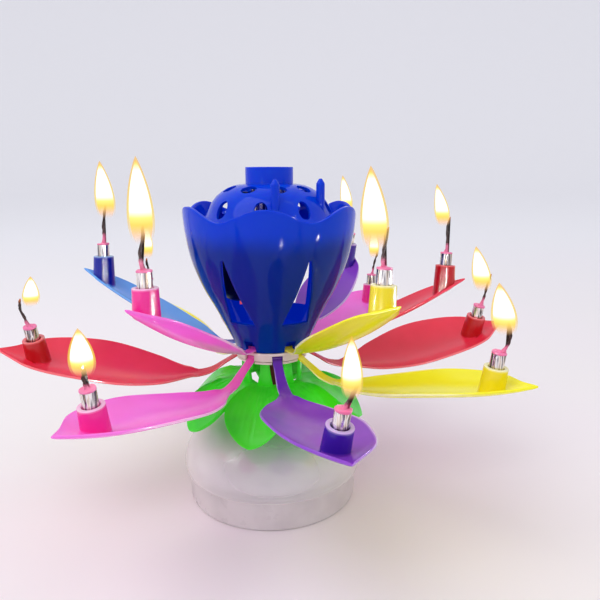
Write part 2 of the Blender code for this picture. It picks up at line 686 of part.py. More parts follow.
def lobe_share(azimuth):
    """1 in the middle of a lobe of the cup, and 0 in the valley between two lobes."""
    return abs(math.cos((azimuth - CUP_LOBE_AZIMUTH) * CUP_LOBES / 2))


def make_bud_cup(material, parent):
    """Blue cup with six lobes, six tall windows and a ledge for the pod."""
    outside = [(radius * CUP_RADIUS, CUP_LEVEL + height * CUP_HEIGHT)
               for radius, height in CUP_PROFILE_shares]
    inside = inset_profile(outside, CUP_WALL)
    rim_inside = (CUP_RADIUS - CUP_WALL, CUP_LEVEL + CUP_HEIGHT)
    floor_top = CUP_LEVEL + CUP_FLOOR
    ledge_radius = between([(height, radius) for radius, height in inside], LEDGE_TOP)
    under_ledge = between([(height, radius) for radius, height in inside], LEDGE_BOTTOM)
    walls = [point for point in inside[3:-1] if point[1] < LEDGE_BOTTOM - LEDGE_THICKNESS]
    floor_radius = between([(height, radius) for radius, height in inside], floor_top)
    outline = [(SHAFT_HOLE_RADIUS, CUP_LEVEL)] + outside
    outline += [rim_inside, (ledge_radius, LEDGE_TOP), (ledge_radius - LEDGE_REACH, LEDGE_TOP),
                (ledge_radius - LEDGE_REACH, LEDGE_BOTTOM), (under_ledge, LEDGE_BOTTOM)]
    outline += walls[::-1] + [(floor_radius, floor_top), (SHAFT_HOLE_RADIUS, floor_top)]
    shape = turned_shape(outline, CUP_SIDES, CUP_LOBE_AZIMUTH - math.pi / 2)
    rim_level = CUP_LEVEL + CUP_HEIGHT - MERGE_DISTANCE
    for corner in shape.verts:
        valley = 1 - lobe_share(math.atan2(corner.co.x, -corner.co.y))
        grown = ease((corner.co.z - floor_top) / (WINDOW_LEVEL - floor_top))
        radius = corner.co.xy.length
        corner.co.xy *= 1 - grown * valley * CUP_CREASE / radius
        if corner.co.z > rim_level:
            corner.co.z -= CUP_RIM_DROP * (1 - (1 - valley) ** CUP_RIM_POWER)
    cup = place_solid("bud_cup", shape, material, parent)
    combine(cup, make_window_cutter(), "DIFFERENCE")
    for cutter in hinge_cutters(UPPER_COUNT, UPPER_AZIMUTH, UPPER_HINGE_RADIUS, CUP_LEVEL,
                                CUP_SLOT_HEIGHT, CUP_RADIUS):
        combine(cup, cutter, "DIFFERENCE")
    return cup


def make_window_cutter():
    """Six wedges, narrow at the top, for the windows in the valleys of the cup."""
    shape = bmesh.new()
    foot_radius = CUP_PROFILE_shares[0][0] * CUP_RADIUS
    length = CUP_RADIUS + CUT_OVERRUN - foot_radius
    for lobe in range(CUP_LOBES):
        azimuth = CUP_LOBE_AZIMUTH + (2 * lobe + 1) * math.pi / CUP_LOBES
        middle = Matrix.Translation((foot_radius + length / 2, 0, WINDOW_LEVEL + WINDOW_HEIGHT / 2))
        add_block(shape, (length, 2 * WINDOW_HALF_WIDTH, WINDOW_HEIGHT), turn_to(azimuth) @ middle,
                  WINDOW_TOP_HALF_WIDTH / WINDOW_HALF_WIDTH)
    return place_solid("cutter", shape, None)


def pod_outer_profile():
    """Outer profile of the pod from its rim up to its boss."""
    return [(radius * POD_RADIUS, POD_LEVEL + height * POD_RISE) for radius, height in POD_PROFILE_shares]


def pod_inner_profile():
    """Inner profile of the pod from its rim up to the bore of its boss."""
    inside = inset_profile(pod_outer_profile(), POD_WALL)
    return [(POD_RADIUS - POD_WALL, POD_LEVEL)] + inside[1:-1:2] + [(POD_BORE_RADIUS, inside[-1][1])]


def straight_height(profile, place):
    """Height of a profile of straight stretches where its radius is the one given."""
    for (radius0, height0), (radius1, height1) in zip(profile, profile[1:]):
        if radius1 <= place <= radius0:
            return height0 + (height1 - height0) * (radius0 - place) / (radius0 - radius1)
    return profile[-1][1]


def make_pod_dome(material, parent):
    """Blue pierced dome with a boss for the fountain and two pegs."""
    outline = pod_outer_profile() + [(POD_BOSS_RADIUS, POD_TOP), (POD_BORE_RADIUS, POD_TOP)]
    outline += pod_inner_profile()[::-1]
    pod = turned("pod_dome", outline, RING_SIDES, material, parent)
    posts = []
    for azimuth in POST_AZIMUTHS:
        foot = POST_RING_RADIUS * heading(azimuth) + Vector((0, 0, POD_LEVEL + POST_LEVEL))
        neck = foot + Vector((0, 0, POST_HEIGHT - POST_TIP_HEIGHT))
        tip = foot + Vector((0, 0, POST_HEIGHT))
        posts.append([(foot, POST_RADIUS), (neck, POST_RADIUS), (tip, POST_TIP_RADIUS)])
    for stations in posts:
        combine(pod, place_solid("cutter", stacked_shape(stations, ROD_SIDES), None), "UNION")
    holes = bmesh.new()
    rows = ((POD_LOWER_HOLES_shares, POD_LOWER_HOLE_HALVES, POD_LOWER_HOLE_LEAN, POD_LOWER_HOLE_AZIMUTH),
            (POD_UPPER_HOLES_shares, POD_UPPER_HOLE_HALVES, POD_UPPER_HOLE_LEAN, POD_UPPER_HOLE_AZIMUTH))
    for (radius_share, rise_share), (half_slope, half_round), lean, first in rows:
        for index in range(POD_HOLE_COUNT):
            middle = Matrix.Translation((radius_share * POD_RADIUS, 0, POD_LEVEL + rise_share * POD_RISE))
            leaned = Matrix.Rotation(math.pi / 2 - lean, 4, "Y")
            place = turn_to(first + index * math.tau / POD_HOLE_COUNT) @ middle @ leaned
            oval = place @ Matrix.Diagonal((half_slope, half_round, POD_HOLE_LENGTH, 1))
            bmesh.ops.create_cone(holes, cap_ends=True, segments=HOLE_SIDES, radius1=1, radius2=1, depth=1,
                                  matrix=oval)
    combine(pod, place_solid("cutter", holes, None), "DIFFERENCE")
    return pod


def make_fountain_tube(material, parent):
    """Tube of the fountain, open at the top and set into the boss of the pod."""
    outer = POD_BORE_RADIUS - FIT_GAP
    inner = outer - FOUNTAIN_WALL
    top = POD_TOP - FOUNTAIN_SINK
    bottom = top - FOUNTAIN_LENGTH
    outline = [(0, bottom), (outer, bottom), (outer, top), (inner, top),
               (inner, bottom + FOUNTAIN_FLOOR), (0, bottom + FOUNTAIN_FLOOR)]
    return turned("fountain_tube", outline, SMALL_SIDES, material, parent)


def make_sensor_capsule(material, parent):
    """Dark capsule that hangs by its neck under the pod, beside the fountain."""
    outline = [(radius * CAPSULE_RADIUS, CAPSULE_BOTTOM + height * CAPSULE_HEIGHT)
               for radius, height in CAPSULE_PROFILE_shares]
    away = Vector(CAPSULE_CENTRE).length + CAPSULE_NECK_RADIUS
    top = straight_height(pod_inner_profile(), away) - FIT_GAP
    shoulder = CAPSULE_BOTTOM + CAPSULE_HEIGHT
    outline += [(CAPSULE_NECK_RADIUS, shoulder), (CAPSULE_NECK_RADIUS, top), (0, top)]
    shape = turned_shape(outline, SMALL_SIDES)
    bmesh.ops.translate(shape, verts=shape.verts, vec=(*CAPSULE_CENTRE, 0))
    return place_solid("sensor_capsule", shape, material, parent)


class Tier:
    """Sizes that all petals of one tier share, with the centre line that they follow."""

    def __init__(self, line_shares, reach, rise, half_width, edge_rise, blade_start, holder_place,
                 holder_height, holder_tilt, hinge_radius, pin_level):
        self.line = [(x * reach, z * rise) for x, z in line_shares]
        self.reach = reach
        self.half_width = half_width
        self.edge_rise = edge_rise
        self.blade_start = blade_start
        self.holder_place = holder_place
        self.holder_height = holder_height
        self.holder_tilt = holder_tilt
        self.hinge_radius = hinge_radius
        self.pin_level = pin_level

    def stations(self):
        """Distances from the hinge at which the petal's section is set."""
        strap = [-STRAP_TAIL] + [self.blade_start * share for share in STRAP_STATION_shares]
        blade_length = self.reach - self.blade_start
        return strap + [self.blade_start + share * blade_length for share, _ in BLADE_OUTLINE_shares]

    def half_width_at(self, place):
        """Half width of the petal at a distance from its hinge."""
        share = (place - self.blade_start) / (self.reach - self.blade_start)
        if share <= 0:
            root = max(self.half_width * BLADE_OUTLINE_shares[0][1], STRAP_WIDTH / 2)
            grown = ease((place - STRAP_BEND_START) / (self.blade_start - STRAP_BEND_START))
            return STRAP_WIDTH / 2 + (root - STRAP_WIDTH / 2) * grown
        width = self.half_width * between(BLADE_OUTLINE_shares, share)
        return max(width, BLADE_TIP_HALF_WIDTH)

    def frame_at(self, place, lean, twist):
        """Point on the centre line, with the way along, across and up, after the strap's bend."""
        bend = ease((place - STRAP_BEND_START) / STRAP_BEND_LENGTH)
        height = between(self.line, place) if place > 0 else 0
        rise = (between(self.line, place + SLOPE_STEP) - height) / SLOPE_STEP if place > 0 else 0
        along = Vector((1, 0, rise)).normalized()
        across = Vector((0, 1, 0))
        up = along.cross(across)
        roll = Matrix.Rotation(twist * bend, 3, along)
        yaw = Matrix.Rotation(lean * bend, 3, "Z")
        return yaw @ Vector((place, 0, height)), yaw @ along, yaw @ roll @ across, yaw @ roll @ up


def petal_sheet(tier, lean, twist):
    """Strap and hollow blade as one closed sheet, with the hinge at the origin."""
    shape = bmesh.new()
    rows = []
    for place in tier.stations():
        centre, _, across, up = tier.frame_at(place, lean, twist)
        half = tier.half_width_at(place)
        hollow = tier.edge_rise * half / tier.half_width if place > tier.blade_start else 0
        row = []
        for column in range(BLADE_COLUMNS + 1):
            side = 2 * column / BLADE_COLUMNS - 1
            lift = hollow * side * side + PETAL_THICKNESS / 2
            row.append(shape.verts.new(centre + across * half * side + up * lift))
        rows.append(row)
    for this, following in zip(rows, rows[1:]):
        for column in range(BLADE_COLUMNS):
            shape.faces.new((this[column], following[column], following[column + 1], this[column + 1]))
    shape.normal_update()
    bmesh.ops.solidify(shape, geom=shape.faces[:], thickness=PETAL_THICKNESS)
    return shape


def holder_frame(tier, lean, twist):
    """Place of a candle holder: its foot on the blade, with Z up its bore."""
    centre, along, across, up = tier.frame_at(tier.holder_place, lean, twist)
    level = Vector((along.x, along.y, 0)).normalized()
    upright = across.cross(level) * -1
    bore = (upright * math.cos(tier.holder_tilt) + level * math.sin(tier.holder_tilt)).normalized()
    turn = Vector((0, 0, 1)).rotation_difference(bore).to_matrix().to_4x4()
    return Matrix.Translation(centre + up * PETAL_THICKNESS / 2) @ turn


def make_petal(name, tier, azimuth, lie, material, parent):
    """One petal: hinge pin, strap, blade and candle holder in one moulding."""
    lift, lean, twist = (math.radians(angle) for angle in lie)
    petal = place_solid(name, petal_sheet(tier, lean, twist), material, parent)
    pin = bmesh.new()
    bmesh.ops.create_cone(pin, cap_ends=True, segments=ROD_SIDES, radius1=PIN_RADIUS, radius2=PIN_RADIUS,
                          depth=2 * PIN_HALF_LENGTH, matrix=Matrix.Rotation(math.pi / 2, 4, "X"))
    combine(petal, place_solid("cutter", pin, None), "UNION")
    frame = holder_frame(tier, lean, twist)
    root = Vector((0, 0, -HOLDER_ROOT))
    top = Vector((0, 0, tier.holder_height))
    tube = stacked_shape([(root, HOLDER_FOOT_RADIUS), (top, HOLDER_RADIUS)], CANDLE_SIDES)
    bmesh.ops.transform(tube, verts=tube.verts, matrix=frame)
    combine(petal, place_solid("cutter", tube, None), "UNION")
    floor = Vector((0, 0, BORE_FLOOR))
    mouth = Vector((0, 0, tier.holder_height + CUT_OVERRUN))
    bore = stacked_shape([(floor, BORE_RADIUS), (mouth, BORE_RADIUS)], CANDLE_SIDES)
    bmesh.ops.transform(bore, verts=bore.verts, matrix=frame)
    combine(petal, place_solid("cutter", bore, None), "DIFFERENCE")
    petal.location = tier.hinge_radius * heading(azimuth) + Vector((0, 0, tier.pin_level))
    petal.rotation_euler = (0, -lift, azimuth - math.pi / 2)
    return petal


def make_candle(name, tier, frame, wick_way, material, parent):
    """Pink wax with its bent wick, standing in a holder."""
    bottom = BORE_FLOOR + FIT_GAP
    top = tier.holder_height + FOIL_RISE + WAX_ABOVE_FOIL
    stations = [(Vector((0, 0, bottom)), WAX_RADIUS), (Vector((0, 0, top)), WAX_RADIUS),
                (Vector((0, 0, top)), WICK_RADIUS)]
    for step in range(1, WICK_STEPS + 1):
        share = step / WICK_STEPS
        side = WICK_LEAN * share * share
        centre = Vector((side * math.cos(wick_way), side * math.sin(wick_way), top + WICK_LENGTH * share))
        stations.append((centre, WICK_RADIUS))
    candle = place_solid(name, stacked_shape(stations, CANDLE_SIDES), material, parent)
    candle.matrix_local = frame
    return candle


def make_foil(name, tier, frame, material, parent):
    """Silver foil sleeve round the wax."""
    bottom = BORE_FLOOR + FIT_GAP
    top = tier.holder_height + FOIL_RISE
    outline = [(FOIL_INNER_RADIUS, bottom), (FOIL_OUTER_RADIUS, bottom), (FOIL_OUTER_RADIUS, top),
               (FOIL_INNER_RADIUS, top)]
    foil = turned(name, outline, CANDLE_SIDES, material, parent)
    foil.matrix_local = frame
    return foil


def make_tier(label, tier, lies, first, step, colours, wax, silver, parent):
    """All petals of one tier, each with its candle and foil."""
    for index, (place, lie) in enumerate(lies.items()):
        azimuth = first + index * step
        name = f"{label}_petal_{place}"
        petal = make_petal(name, tier, azimuth, lie, colours[place.split("_")[0]], parent)
        frame = holder_frame(tier, math.radians(lie[1]), math.radians(lie[2]))
        wick_way = azimuth * len(lies)
        make_candle(f"{label}_candle_{place}", tier, frame, wick_way, wax, petal)
        make_foil(f"{label}_foil_{place}", tier, frame, silver, petal)


def build():
    """Makes the whole candle in an empty scene."""
    for old in list(bpy.data.objects):
        bpy.data.objects.remove(old)

    white = plastic("white_plastic", (0.86, 0.85, 0.88), 0.35)
    clear = plastic("clear_plastic", (0.90, 0.91, 0.92), 0.08)
    maroon = plastic("maroon_plastic", (0.17, 0.015, 0.02), 0.4)
    green = plastic("green_plastic", (0.03, 0.45, 0.015), 0.25)
    pale = plastic("pale_ring_plastic", (0.72, 0.58, 0.54), 0.4)
    blue = plastic("blue_cup_plastic", (0.008, 0.04, 0.42), 0.2)
    black = plastic("black_plastic", (0.012, 0.012, 0.015), 0.4)
    nylon = plastic("gear_nylon", (0.8, 0.79, 0.74), 0.5)
    steel = plastic("motor_steel", (0.55, 0.56, 0.58), 0.35, 1)
    circuit = plastic("circuit_board", (0.02, 0.16, 0.05), 0.5)
    brass = plastic("sounder_brass", (0.70, 0.50, 0.20), 0.35, 1)
    silver = plastic("candle_foil", (0.80, 0.80, 0.82), 0.25, 1)
    wax = plastic("pink_wax", (0.85, 0.25, 0.35), 0.5)
    petals = {
        "red": plastic("red_petal", (0.65, 0.02, 0.045), 0.3),
        "pink": plastic("pink_petal", (1, 0.09, 0.55), 0.3),
        "purple": plastic("purple_petal", (0.22, 0.06, 0.45), 0.3),
        "yellow": plastic("yellow_petal", (0.85, 0.76, 0.02), 0.3),
        "blue": plastic("blue_petal", (0.04, 0.18, 0.65), 0.3),
    }

    make_base_cup(white)
    make_inner_housing(white)
    make_clear_cover(clear)
    make_motor(steel)
    make_sound_board(circuit)
    make_piezo_disc(brass)
    make_button_cells(steel)

    pinion = make_gear("motor_pinion", PINION_TEETH, MOTOR_SHAFT_RADIUS + FIT_GAP, math.pi, nylon)
    pinion.location = (GEAR_DISTANCE, 0, GEAR_LEVEL)

    head = bpy.data.objects.new("flower_head", None)
    bpy.context.collection.objects.link(head)
    make_spindle(maroon, head)
    gear = make_gear("drive_gear", GEAR_TEETH, SHAFT_HOLE_RADIUS, math.pi / GEAR_TEETH, nylon, head)
    gear.location = (0, 0, GEAR_LEVEL)
    make_calyx(green, head)
    make_ring_keeper(pale, head)
    make_petal_ring(pale, head)
    make_bud_cup(blue, head)
    make_pod_dome(blue, head)
    make_fountain_tube(silver, head)
    make_sensor_capsule(black, head)

    lower = Tier(LOWER_LINE_shares, LOWER_REACH, LOWER_DIP, LOWER_HALF_WIDTH, LOWER_EDGE_RISE,
                 LOWER_BLADE_START, LOWER_HOLDER_PLACE, LOWER_HOLDER_HEIGHT, LOWER_HOLDER_TILT,
                 LOWER_HINGE_RADIUS, LOWER_PIN_LEVEL)
    upper = Tier(UPPER_LINE_shares, UPPER_REACH, UPPER_RISE, UPPER_HALF_WIDTH, UPPER_EDGE_RISE,
                 UPPER_BLADE_START, UPPER_HOLDER_PLACE, UPPER_HOLDER_HEIGHT, UPPER_HOLDER_TILT,
                 UPPER_HINGE_RADIUS, UPPER_PIN_LEVEL)
    make_tier("lower", lower, LOWER_LIES, LOWER_AZIMUTH, LOWER_STEP, petals, wax, silver, head)
    make_tier("upper", upper, UPPER_LIES, UPPER_AZIMUTH, UPPER_STEP, petals, wax, silver, head)


build()
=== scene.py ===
"""Musical birthday candle in the shape of a lotus flower, dressed for its photograph.

Lengths are metres, Z points up, and the origin is on the spindle's axis at table height.
Azimuth 0 points towards the camera, along -Y, and grows towards +X.
"""

import math
import random

import bmesh
import bpy
from mathutils import Matrix, Vector, noise


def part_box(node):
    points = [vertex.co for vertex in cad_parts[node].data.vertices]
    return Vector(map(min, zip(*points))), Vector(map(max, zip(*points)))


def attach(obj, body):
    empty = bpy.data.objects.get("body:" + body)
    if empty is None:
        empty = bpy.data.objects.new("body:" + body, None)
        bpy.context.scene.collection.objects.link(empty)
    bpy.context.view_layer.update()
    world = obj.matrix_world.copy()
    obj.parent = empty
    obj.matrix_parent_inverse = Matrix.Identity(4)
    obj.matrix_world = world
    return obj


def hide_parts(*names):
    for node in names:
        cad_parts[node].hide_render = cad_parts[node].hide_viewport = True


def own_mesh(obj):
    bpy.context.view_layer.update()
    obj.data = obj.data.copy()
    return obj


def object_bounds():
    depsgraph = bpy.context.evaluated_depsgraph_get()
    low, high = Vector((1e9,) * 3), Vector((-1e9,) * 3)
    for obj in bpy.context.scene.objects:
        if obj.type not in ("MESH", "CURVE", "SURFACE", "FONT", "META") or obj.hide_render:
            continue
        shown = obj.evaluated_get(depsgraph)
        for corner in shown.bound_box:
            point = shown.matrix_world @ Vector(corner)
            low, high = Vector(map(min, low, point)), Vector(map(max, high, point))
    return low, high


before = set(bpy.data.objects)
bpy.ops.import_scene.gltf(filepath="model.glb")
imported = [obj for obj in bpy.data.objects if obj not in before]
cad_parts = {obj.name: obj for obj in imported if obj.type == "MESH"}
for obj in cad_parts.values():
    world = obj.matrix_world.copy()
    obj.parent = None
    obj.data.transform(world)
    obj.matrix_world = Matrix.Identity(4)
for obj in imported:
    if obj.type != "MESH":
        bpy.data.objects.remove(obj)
cad_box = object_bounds()

# The candle stands on a nearly white sheet that sweeps up behind it into pale grey-lavender.
# It is seen a little from above, in the even light of a white room. One wide soft lamp and two
# narrow ones hang overhead.
CAMERA_PLACE = (0, -0.2656, 0.1526)
CAMERA_PITCH = math.radians(12.84)
CAMERA_YAW = math.radians(2.88)
CAMERA_ROLL = math.radians(0.12)
CAMERA_LENS_MM = 35.94
CAMERA_SENSOR_MM = 36
CAMERA_NEAR = 0.01
SHEET_HALF_WIDTH = 6
SHEET_FRONT = -4
SHEET_STRAIGHT = 6.5
SHEET_BEND = 1.5
SHEET_RISE = 3
SHEET_STEPS = 64
SHEET_FADE = (-0.1, 1.3)
SHEET_FADE_DRIFT = 0.25
ROOM_STRENGTH = 0.78
LAMP_SIZE = 0.9
LAMP_POWER = 5
LAMP_HEIGHT = 1.1
STRIP_LENGTH = 0.5
STRIP_WIDTH = 0.012
STRIP_POWER = 0.3


def paint(red, green, blue):
    """Linear colour from the usual 0 to 255 values."""
    return tuple((value / 255 / 12.92) if value < 11 else ((value / 255 + 0.055) / 1.055) ** 2.4
                 for value in (red, green, blue)) + (1,)


class Tone:
    """A number that changes over a surface, with plain arithmetic on it."""

    def __init__(self, finish, socket):
        self.finish = finish
        self.socket = socket

    def maths(self, operation, first, second):
        return self.finish.node("Math", {"operation": operation}, {0: first, 1: second})

    def __add__(self, other):
        return self.maths("ADD", self, other)

    def __sub__(self, other):
        return self.maths("SUBTRACT", self, other)

    def __rsub__(self, other):
        return self.maths("SUBTRACT", other, self)

    def __mul__(self, other):
        return self.maths("MULTIPLY", self, other)

    __radd__ = __add__
    __rmul__ = __mul__


class Finish:
    """A surface under way: one Principled shader, and nodes that vary its inputs."""

    def __init__(self, name, **constants):
        self.material = bpy.data.materials.new(name)
        self.material.use_nodes = True
        self.tree = self.material.node_tree
        self.shader = self.tree.nodes["Principled BSDF"]
        self.set(**constants)

    def set(self, **values):
        """Sets or links shader inputs, named with underscores for spaces."""
        for name, value in values.items():
            self.feed(self.shader.inputs[name.replace("_", " ").title().replace("Ior", "IOR")], value)

    def feed(self, socket, value):
        if isinstance(value, Tone):
            self.tree.links.new(value.socket, socket)
        else:
            socket.default_value = value

    def node(self, kind, settings, inputs, output=0):
        """Any node, from its type, its settings and the values or links of its sockets."""
        made = self.tree.nodes.new("ShaderNode" + kind)
        for name, value in settings.items():
            if name == "stops":
                made.color_ramp.elements.remove(made.color_ramp.elements[0])
                for index, (place, colour) in enumerate(value):
                    stop = made.color_ramp.elements[0] if index == 0 else made.color_ramp.elements.new(place)
                    stop.position = place
                    stop.color = colour
            else:
                setattr(made, name, value)
        for name, value in inputs.items():
            self.feed(made.inputs[name], value)
        return Tone(self, made.outputs[output])

    def place(self):
        return self.node("TexCoord", {}, {}, "Object")

    def cloud(self, scale, detail=2, stretch=(1, 1, 1)):
        """Soft noise from 0 to 1, its features about 1 / scale metres across."""
        spot = self.node("Mapping", {}, {"Vector": self.place(), "Scale": stretch})
        return self.node("TexNoise", {}, {"Vector": spot, "Scale": scale, "Detail": detail})

    def ramp(self, tone, stops):
        """Colour along a ramp of (place, colour) stops."""
        return self.node("ValToRGB", {"stops": stops}, {"Fac": tone})

    def steps(self, tone, low, high):
        """Number that rises smoothly from 0 to 1 between two limits."""
        return self.node("MapRange", {"interpolation_type": "SMOOTHSTEP"},
                         {"Value": tone, "From Min": low, "From Max": high})

    def mix(self, share, first, second):
        """Colour between two colours."""
        return self.node("Mix", {"data_type": "RGBA"}, {0: share, 6: first, 7: second}, 2)

    def bump(self, height, depth, under=None):
        """Normal from a relief of the given depth in metres."""
        inputs = {"Height": height, "Distance": depth}
        if under:
            inputs["Normal"] = under
        return self.node("Bump", {}, inputs)

    def mark(self, name):
        """Number stored on the piece's own points."""
        return self.node("Attribute", {"attribute_name": name}, {}, "Fac")


SHEET_NEAR_SHADES = (paint(250, 240, 246), paint(247, 243, 240))
SHEET_FAR_SHADE = paint(225, 225, 231)
SHEET_FAR_GLOW = paint(122, 122, 123)
ROOM_SHADE = paint(250, 250, 255)
BLACK = paint(0, 0, 0)

camera = bpy.data.objects.new("photo_camera", bpy.data.cameras.new("photo_camera"))
camera.data.lens = CAMERA_LENS_MM
camera.data.sensor_width = CAMERA_SENSOR_MM
camera.data.clip_start = CAMERA_NEAR
camera.location = CAMERA_PLACE
camera.rotation_euler = (math.pi / 2 - CAMERA_PITCH, CAMERA_ROLL, -CAMERA_YAW)
bpy.context.collection.objects.link(camera)
bpy.context.scene.camera = camera
bpy.context.scene.view_settings.view_transform = "Standard"

sheet_shape = bmesh.new()
bmesh.ops.create_grid(sheet_shape, x_segments=1, y_segments=SHEET_STEPS, size=1)
sheet_arc = SHEET_BEND * math.pi / 2
sheet_length = SHEET_STRAIGHT + sheet_arc + SHEET_RISE
for corner in sheet_shape.verts:
    along = (corner.co.y + 1) / 2 * sheet_length
    turn = min(max(along - SHEET_STRAIGHT, 0) / SHEET_BEND, math.pi / 2)
    past = max(along - SHEET_STRAIGHT - sheet_arc, 0)
    corner.co = (corner.co.x * SHEET_HALF_WIDTH,
                 SHEET_FRONT + min(along, SHEET_STRAIGHT) + SHEET_BEND * math.sin(turn),
                 SHEET_BEND * (1 - math.cos(turn)) + past)
sheet_mesh = bpy.data.meshes.new("paper_sweep")
sheet_shape.to_mesh(sheet_mesh)
sheet_shape.free()
sheet_mesh.shade_smooth()
sweep = bpy.data.objects.new("paper_sweep", sheet_mesh)
bpy.context.collection.objects.link(sweep)
paper = Finish("pale_paper", roughness=0.75)
spot = paper.node("SeparateXYZ", {}, {"Vector": paper.place()}, "Y")
distance = paper.steps(spot + paper.cloud(1.2) * SHEET_FADE_DRIFT, *SHEET_FADE)
tinted = paper.mix(paper.cloud(5, 1), *SHEET_NEAR_SHADES)
paper.set(base_color=paper.mix(distance, tinted, SHEET_FAR_SHADE))
straight, mirrored, through = (paper.node("LightPath", {}, {}, f"Is {ray} Ray")
                               for ray in ("Camera", "Glossy", "Transmission"))
seen = paper.steps(straight + mirrored + through, 0, 1)
paper.set(emission_color=paper.mix(seen * distance, BLACK, SHEET_FAR_GLOW), emission_strength=1)
sheet_mesh.materials.append(paper.material)

room = bpy.data.worlds.new("white_room")
room.use_nodes = True
bpy.context.scene.world = room
room_light = room.node_tree.nodes["Background"]
room_light.inputs["Color"].default_value = ROOM_SHADE
room_light.inputs["Strength"].default_value = ROOM_STRENGTH


def hang_lamp(name, size, power, place, aim):
    """Soft rectangular lamp that looks at a point."""
    lamp = bpy.data.lights.new(name, "AREA")
    lamp.shape = "RECTANGLE"
    lamp.size, lamp.size_y = size
    lamp.energy = power
    made = bpy.data.objects.new(name, lamp)
    made.location = place
    made.rotation_euler = (Vector(aim) - Vector(place)).to_track_quat("-Z", "Y").to_euler()
    bpy.context.collection.objects.link(made)
    return made


hang_lamp("window", (LAMP_SIZE, LAMP_SIZE), LAMP_POWER,
          (-LAMP_HEIGHT / 2, -LAMP_HEIGHT / 3, LAMP_HEIGHT), (0, 0, 0))
for side in (-1, 1):
    hang_lamp("strip_left" if side < 0 else "strip_right", (STRIP_WIDTH, STRIP_LENGTH), STRIP_POWER,
              (side * LAMP_SIZE / 2, -LAMP_SIZE / 4, LAMP_HEIGHT), (0, 0, cad_box[1][2]))

# The base is a plain round pan injected in white plastic. It stands on its flat floor,
# with a boss in the middle that the spindle's foot turns in.
BASE_RADIUS = 0.0390
BASE_HEIGHT = 0.0134
BASE_WALL = 0.0018
BASE_FOOT_FILLET = 0.0014
BASE_RIM_FILLET = 0.0003
BASE_STEPS = 128
BOSS_RADIUS = 0.0050
BOSS_TOP = 0.0070
BOSS_BORE = 0.0023
FILLET_STEPS = 5
MERGE_DISTANCE = 0.000005
SHARP_ANGLE = math.radians(35)
PLASTIC_GLOSS = 0.35
GLOW_DEPTH = 0.004
GRAIN_DEPTH = 0.000006
FLOW_DEPTH = 0.00001
WHITE_SHADE = paint(224, 216, 216)
WHITE_DEEP = paint(210, 201, 202)


def rounded(corners):
    """Outline through (radius, height, fillet) corners, each softened by its fillet."""
    outline = []
    for index, (radius, height, fillet) in enumerate(corners):
        here = Vector((radius, height))
        if not fillet:
            outline.append(here)
            continue
        before = (Vector(corners[index - 1][:2]) - here).normalized() * fillet
        after = (Vector(corners[(index + 1) % len(corners)][:2]) - here).normalized() * fillet
        for step in range(FILLET_STEPS + 1):
            share = step / FILLET_STEPS
            outline.append(here + before * (1 - share) ** 2 + after * share ** 2)
    return outline


def turned(outline, steps):
    """Shape spun once round the axis from a closed half section of (radius, height)."""
    shape = bmesh.new()
    corners = [shape.verts.new((radius, 0, height)) for radius, height in outline]
    edges = [shape.edges.new((start, end)) for start, end in zip(corners, corners[1:] + corners[:1])
             if start.co.x > 0 or end.co.x > 0]
    bmesh.ops.spin(shape, geom=corners + edges, cent=(0, 0, 0), axis=(0, 0, 1), angle=math.tau, steps=steps,
                   use_merge=True)
    bmesh.ops.remove_doubles(shape, verts=shape.verts, dist=MERGE_DISTANCE)
    return shape


def show(name, shape, finish=None):
    """Object that holds a finished shape, faces outwards, with its place in its mesh."""
    bmesh.ops.recalc_face_normals(shape, faces=shape.faces)
    if shape.calc_volume(signed=True) < 0:
        bmesh.ops.reverse_faces(shape, faces=shape.faces)
    mesh = bpy.data.meshes.new(name)
    shape.to_mesh(mesh)
    shape.free()
    mesh.shade_smooth()
    mesh.set_sharp_from_angle(angle=SHARP_ANGLE)
    if finish:
        mesh.materials.append(finish.material)
    made = bpy.data.objects.new(name, mesh)
    bpy.context.collection.objects.link(made)
    return made


def moulded(name, shade, deep, roughness, gloss=PLASTIC_GLOSS, glow=0):
    """Injected plastic: slow drifts of shade, flow lines, a handled haze and a very fine grain."""
    finish = Finish(name, specular_ior_level=gloss)
    if glow:
        finish.set(subsurface_weight=glow, subsurface_radius=shade[:3], subsurface_scale=GLOW_DEPTH)
    drift = finish.cloud(55, 3)
    finish.set(base_color=finish.mix(finish.steps(drift, 0.35, 0.7), shade, deep))
    haze = finish.cloud(140, 4)
    finish.set(roughness=haze * (roughness * 0.6) + roughness * 0.7)
    flow = finish.cloud(420, 2, (1, 1, 0.25))
    grain = finish.cloud(2600, 2)
    finish.set(normal=finish.bump(grain, GRAIN_DEPTH, finish.bump(flow, FLOW_DEPTH)))
    return finish


white_plastic = moulded("white_base_plastic", WHITE_SHADE, WHITE_DEEP, 0.3)
base_pan = show("base_pan", turned(rounded([
    (0, 0, 0), (BASE_RADIUS, 0, BASE_FOOT_FILLET), (BASE_RADIUS, BASE_HEIGHT, BASE_RIM_FILLET),
    (BASE_RADIUS - BASE_WALL, BASE_HEIGHT, BASE_RIM_FILLET),
    (BASE_RADIUS - BASE_WALL, BASE_WALL, BASE_WALL / 2),
    (BOSS_RADIUS, BASE_WALL, 0), (BOSS_RADIUS, BOSS_TOP, BASE_RIM_FILLET), (BOSS_BORE, BOSS_TOP, 0),
    (BOSS_BORE, BASE_WALL, 0), (0, BASE_WALL, 0)]), BASE_STEPS), white_plastic)
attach(base_pan, "base")
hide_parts("base_cup")

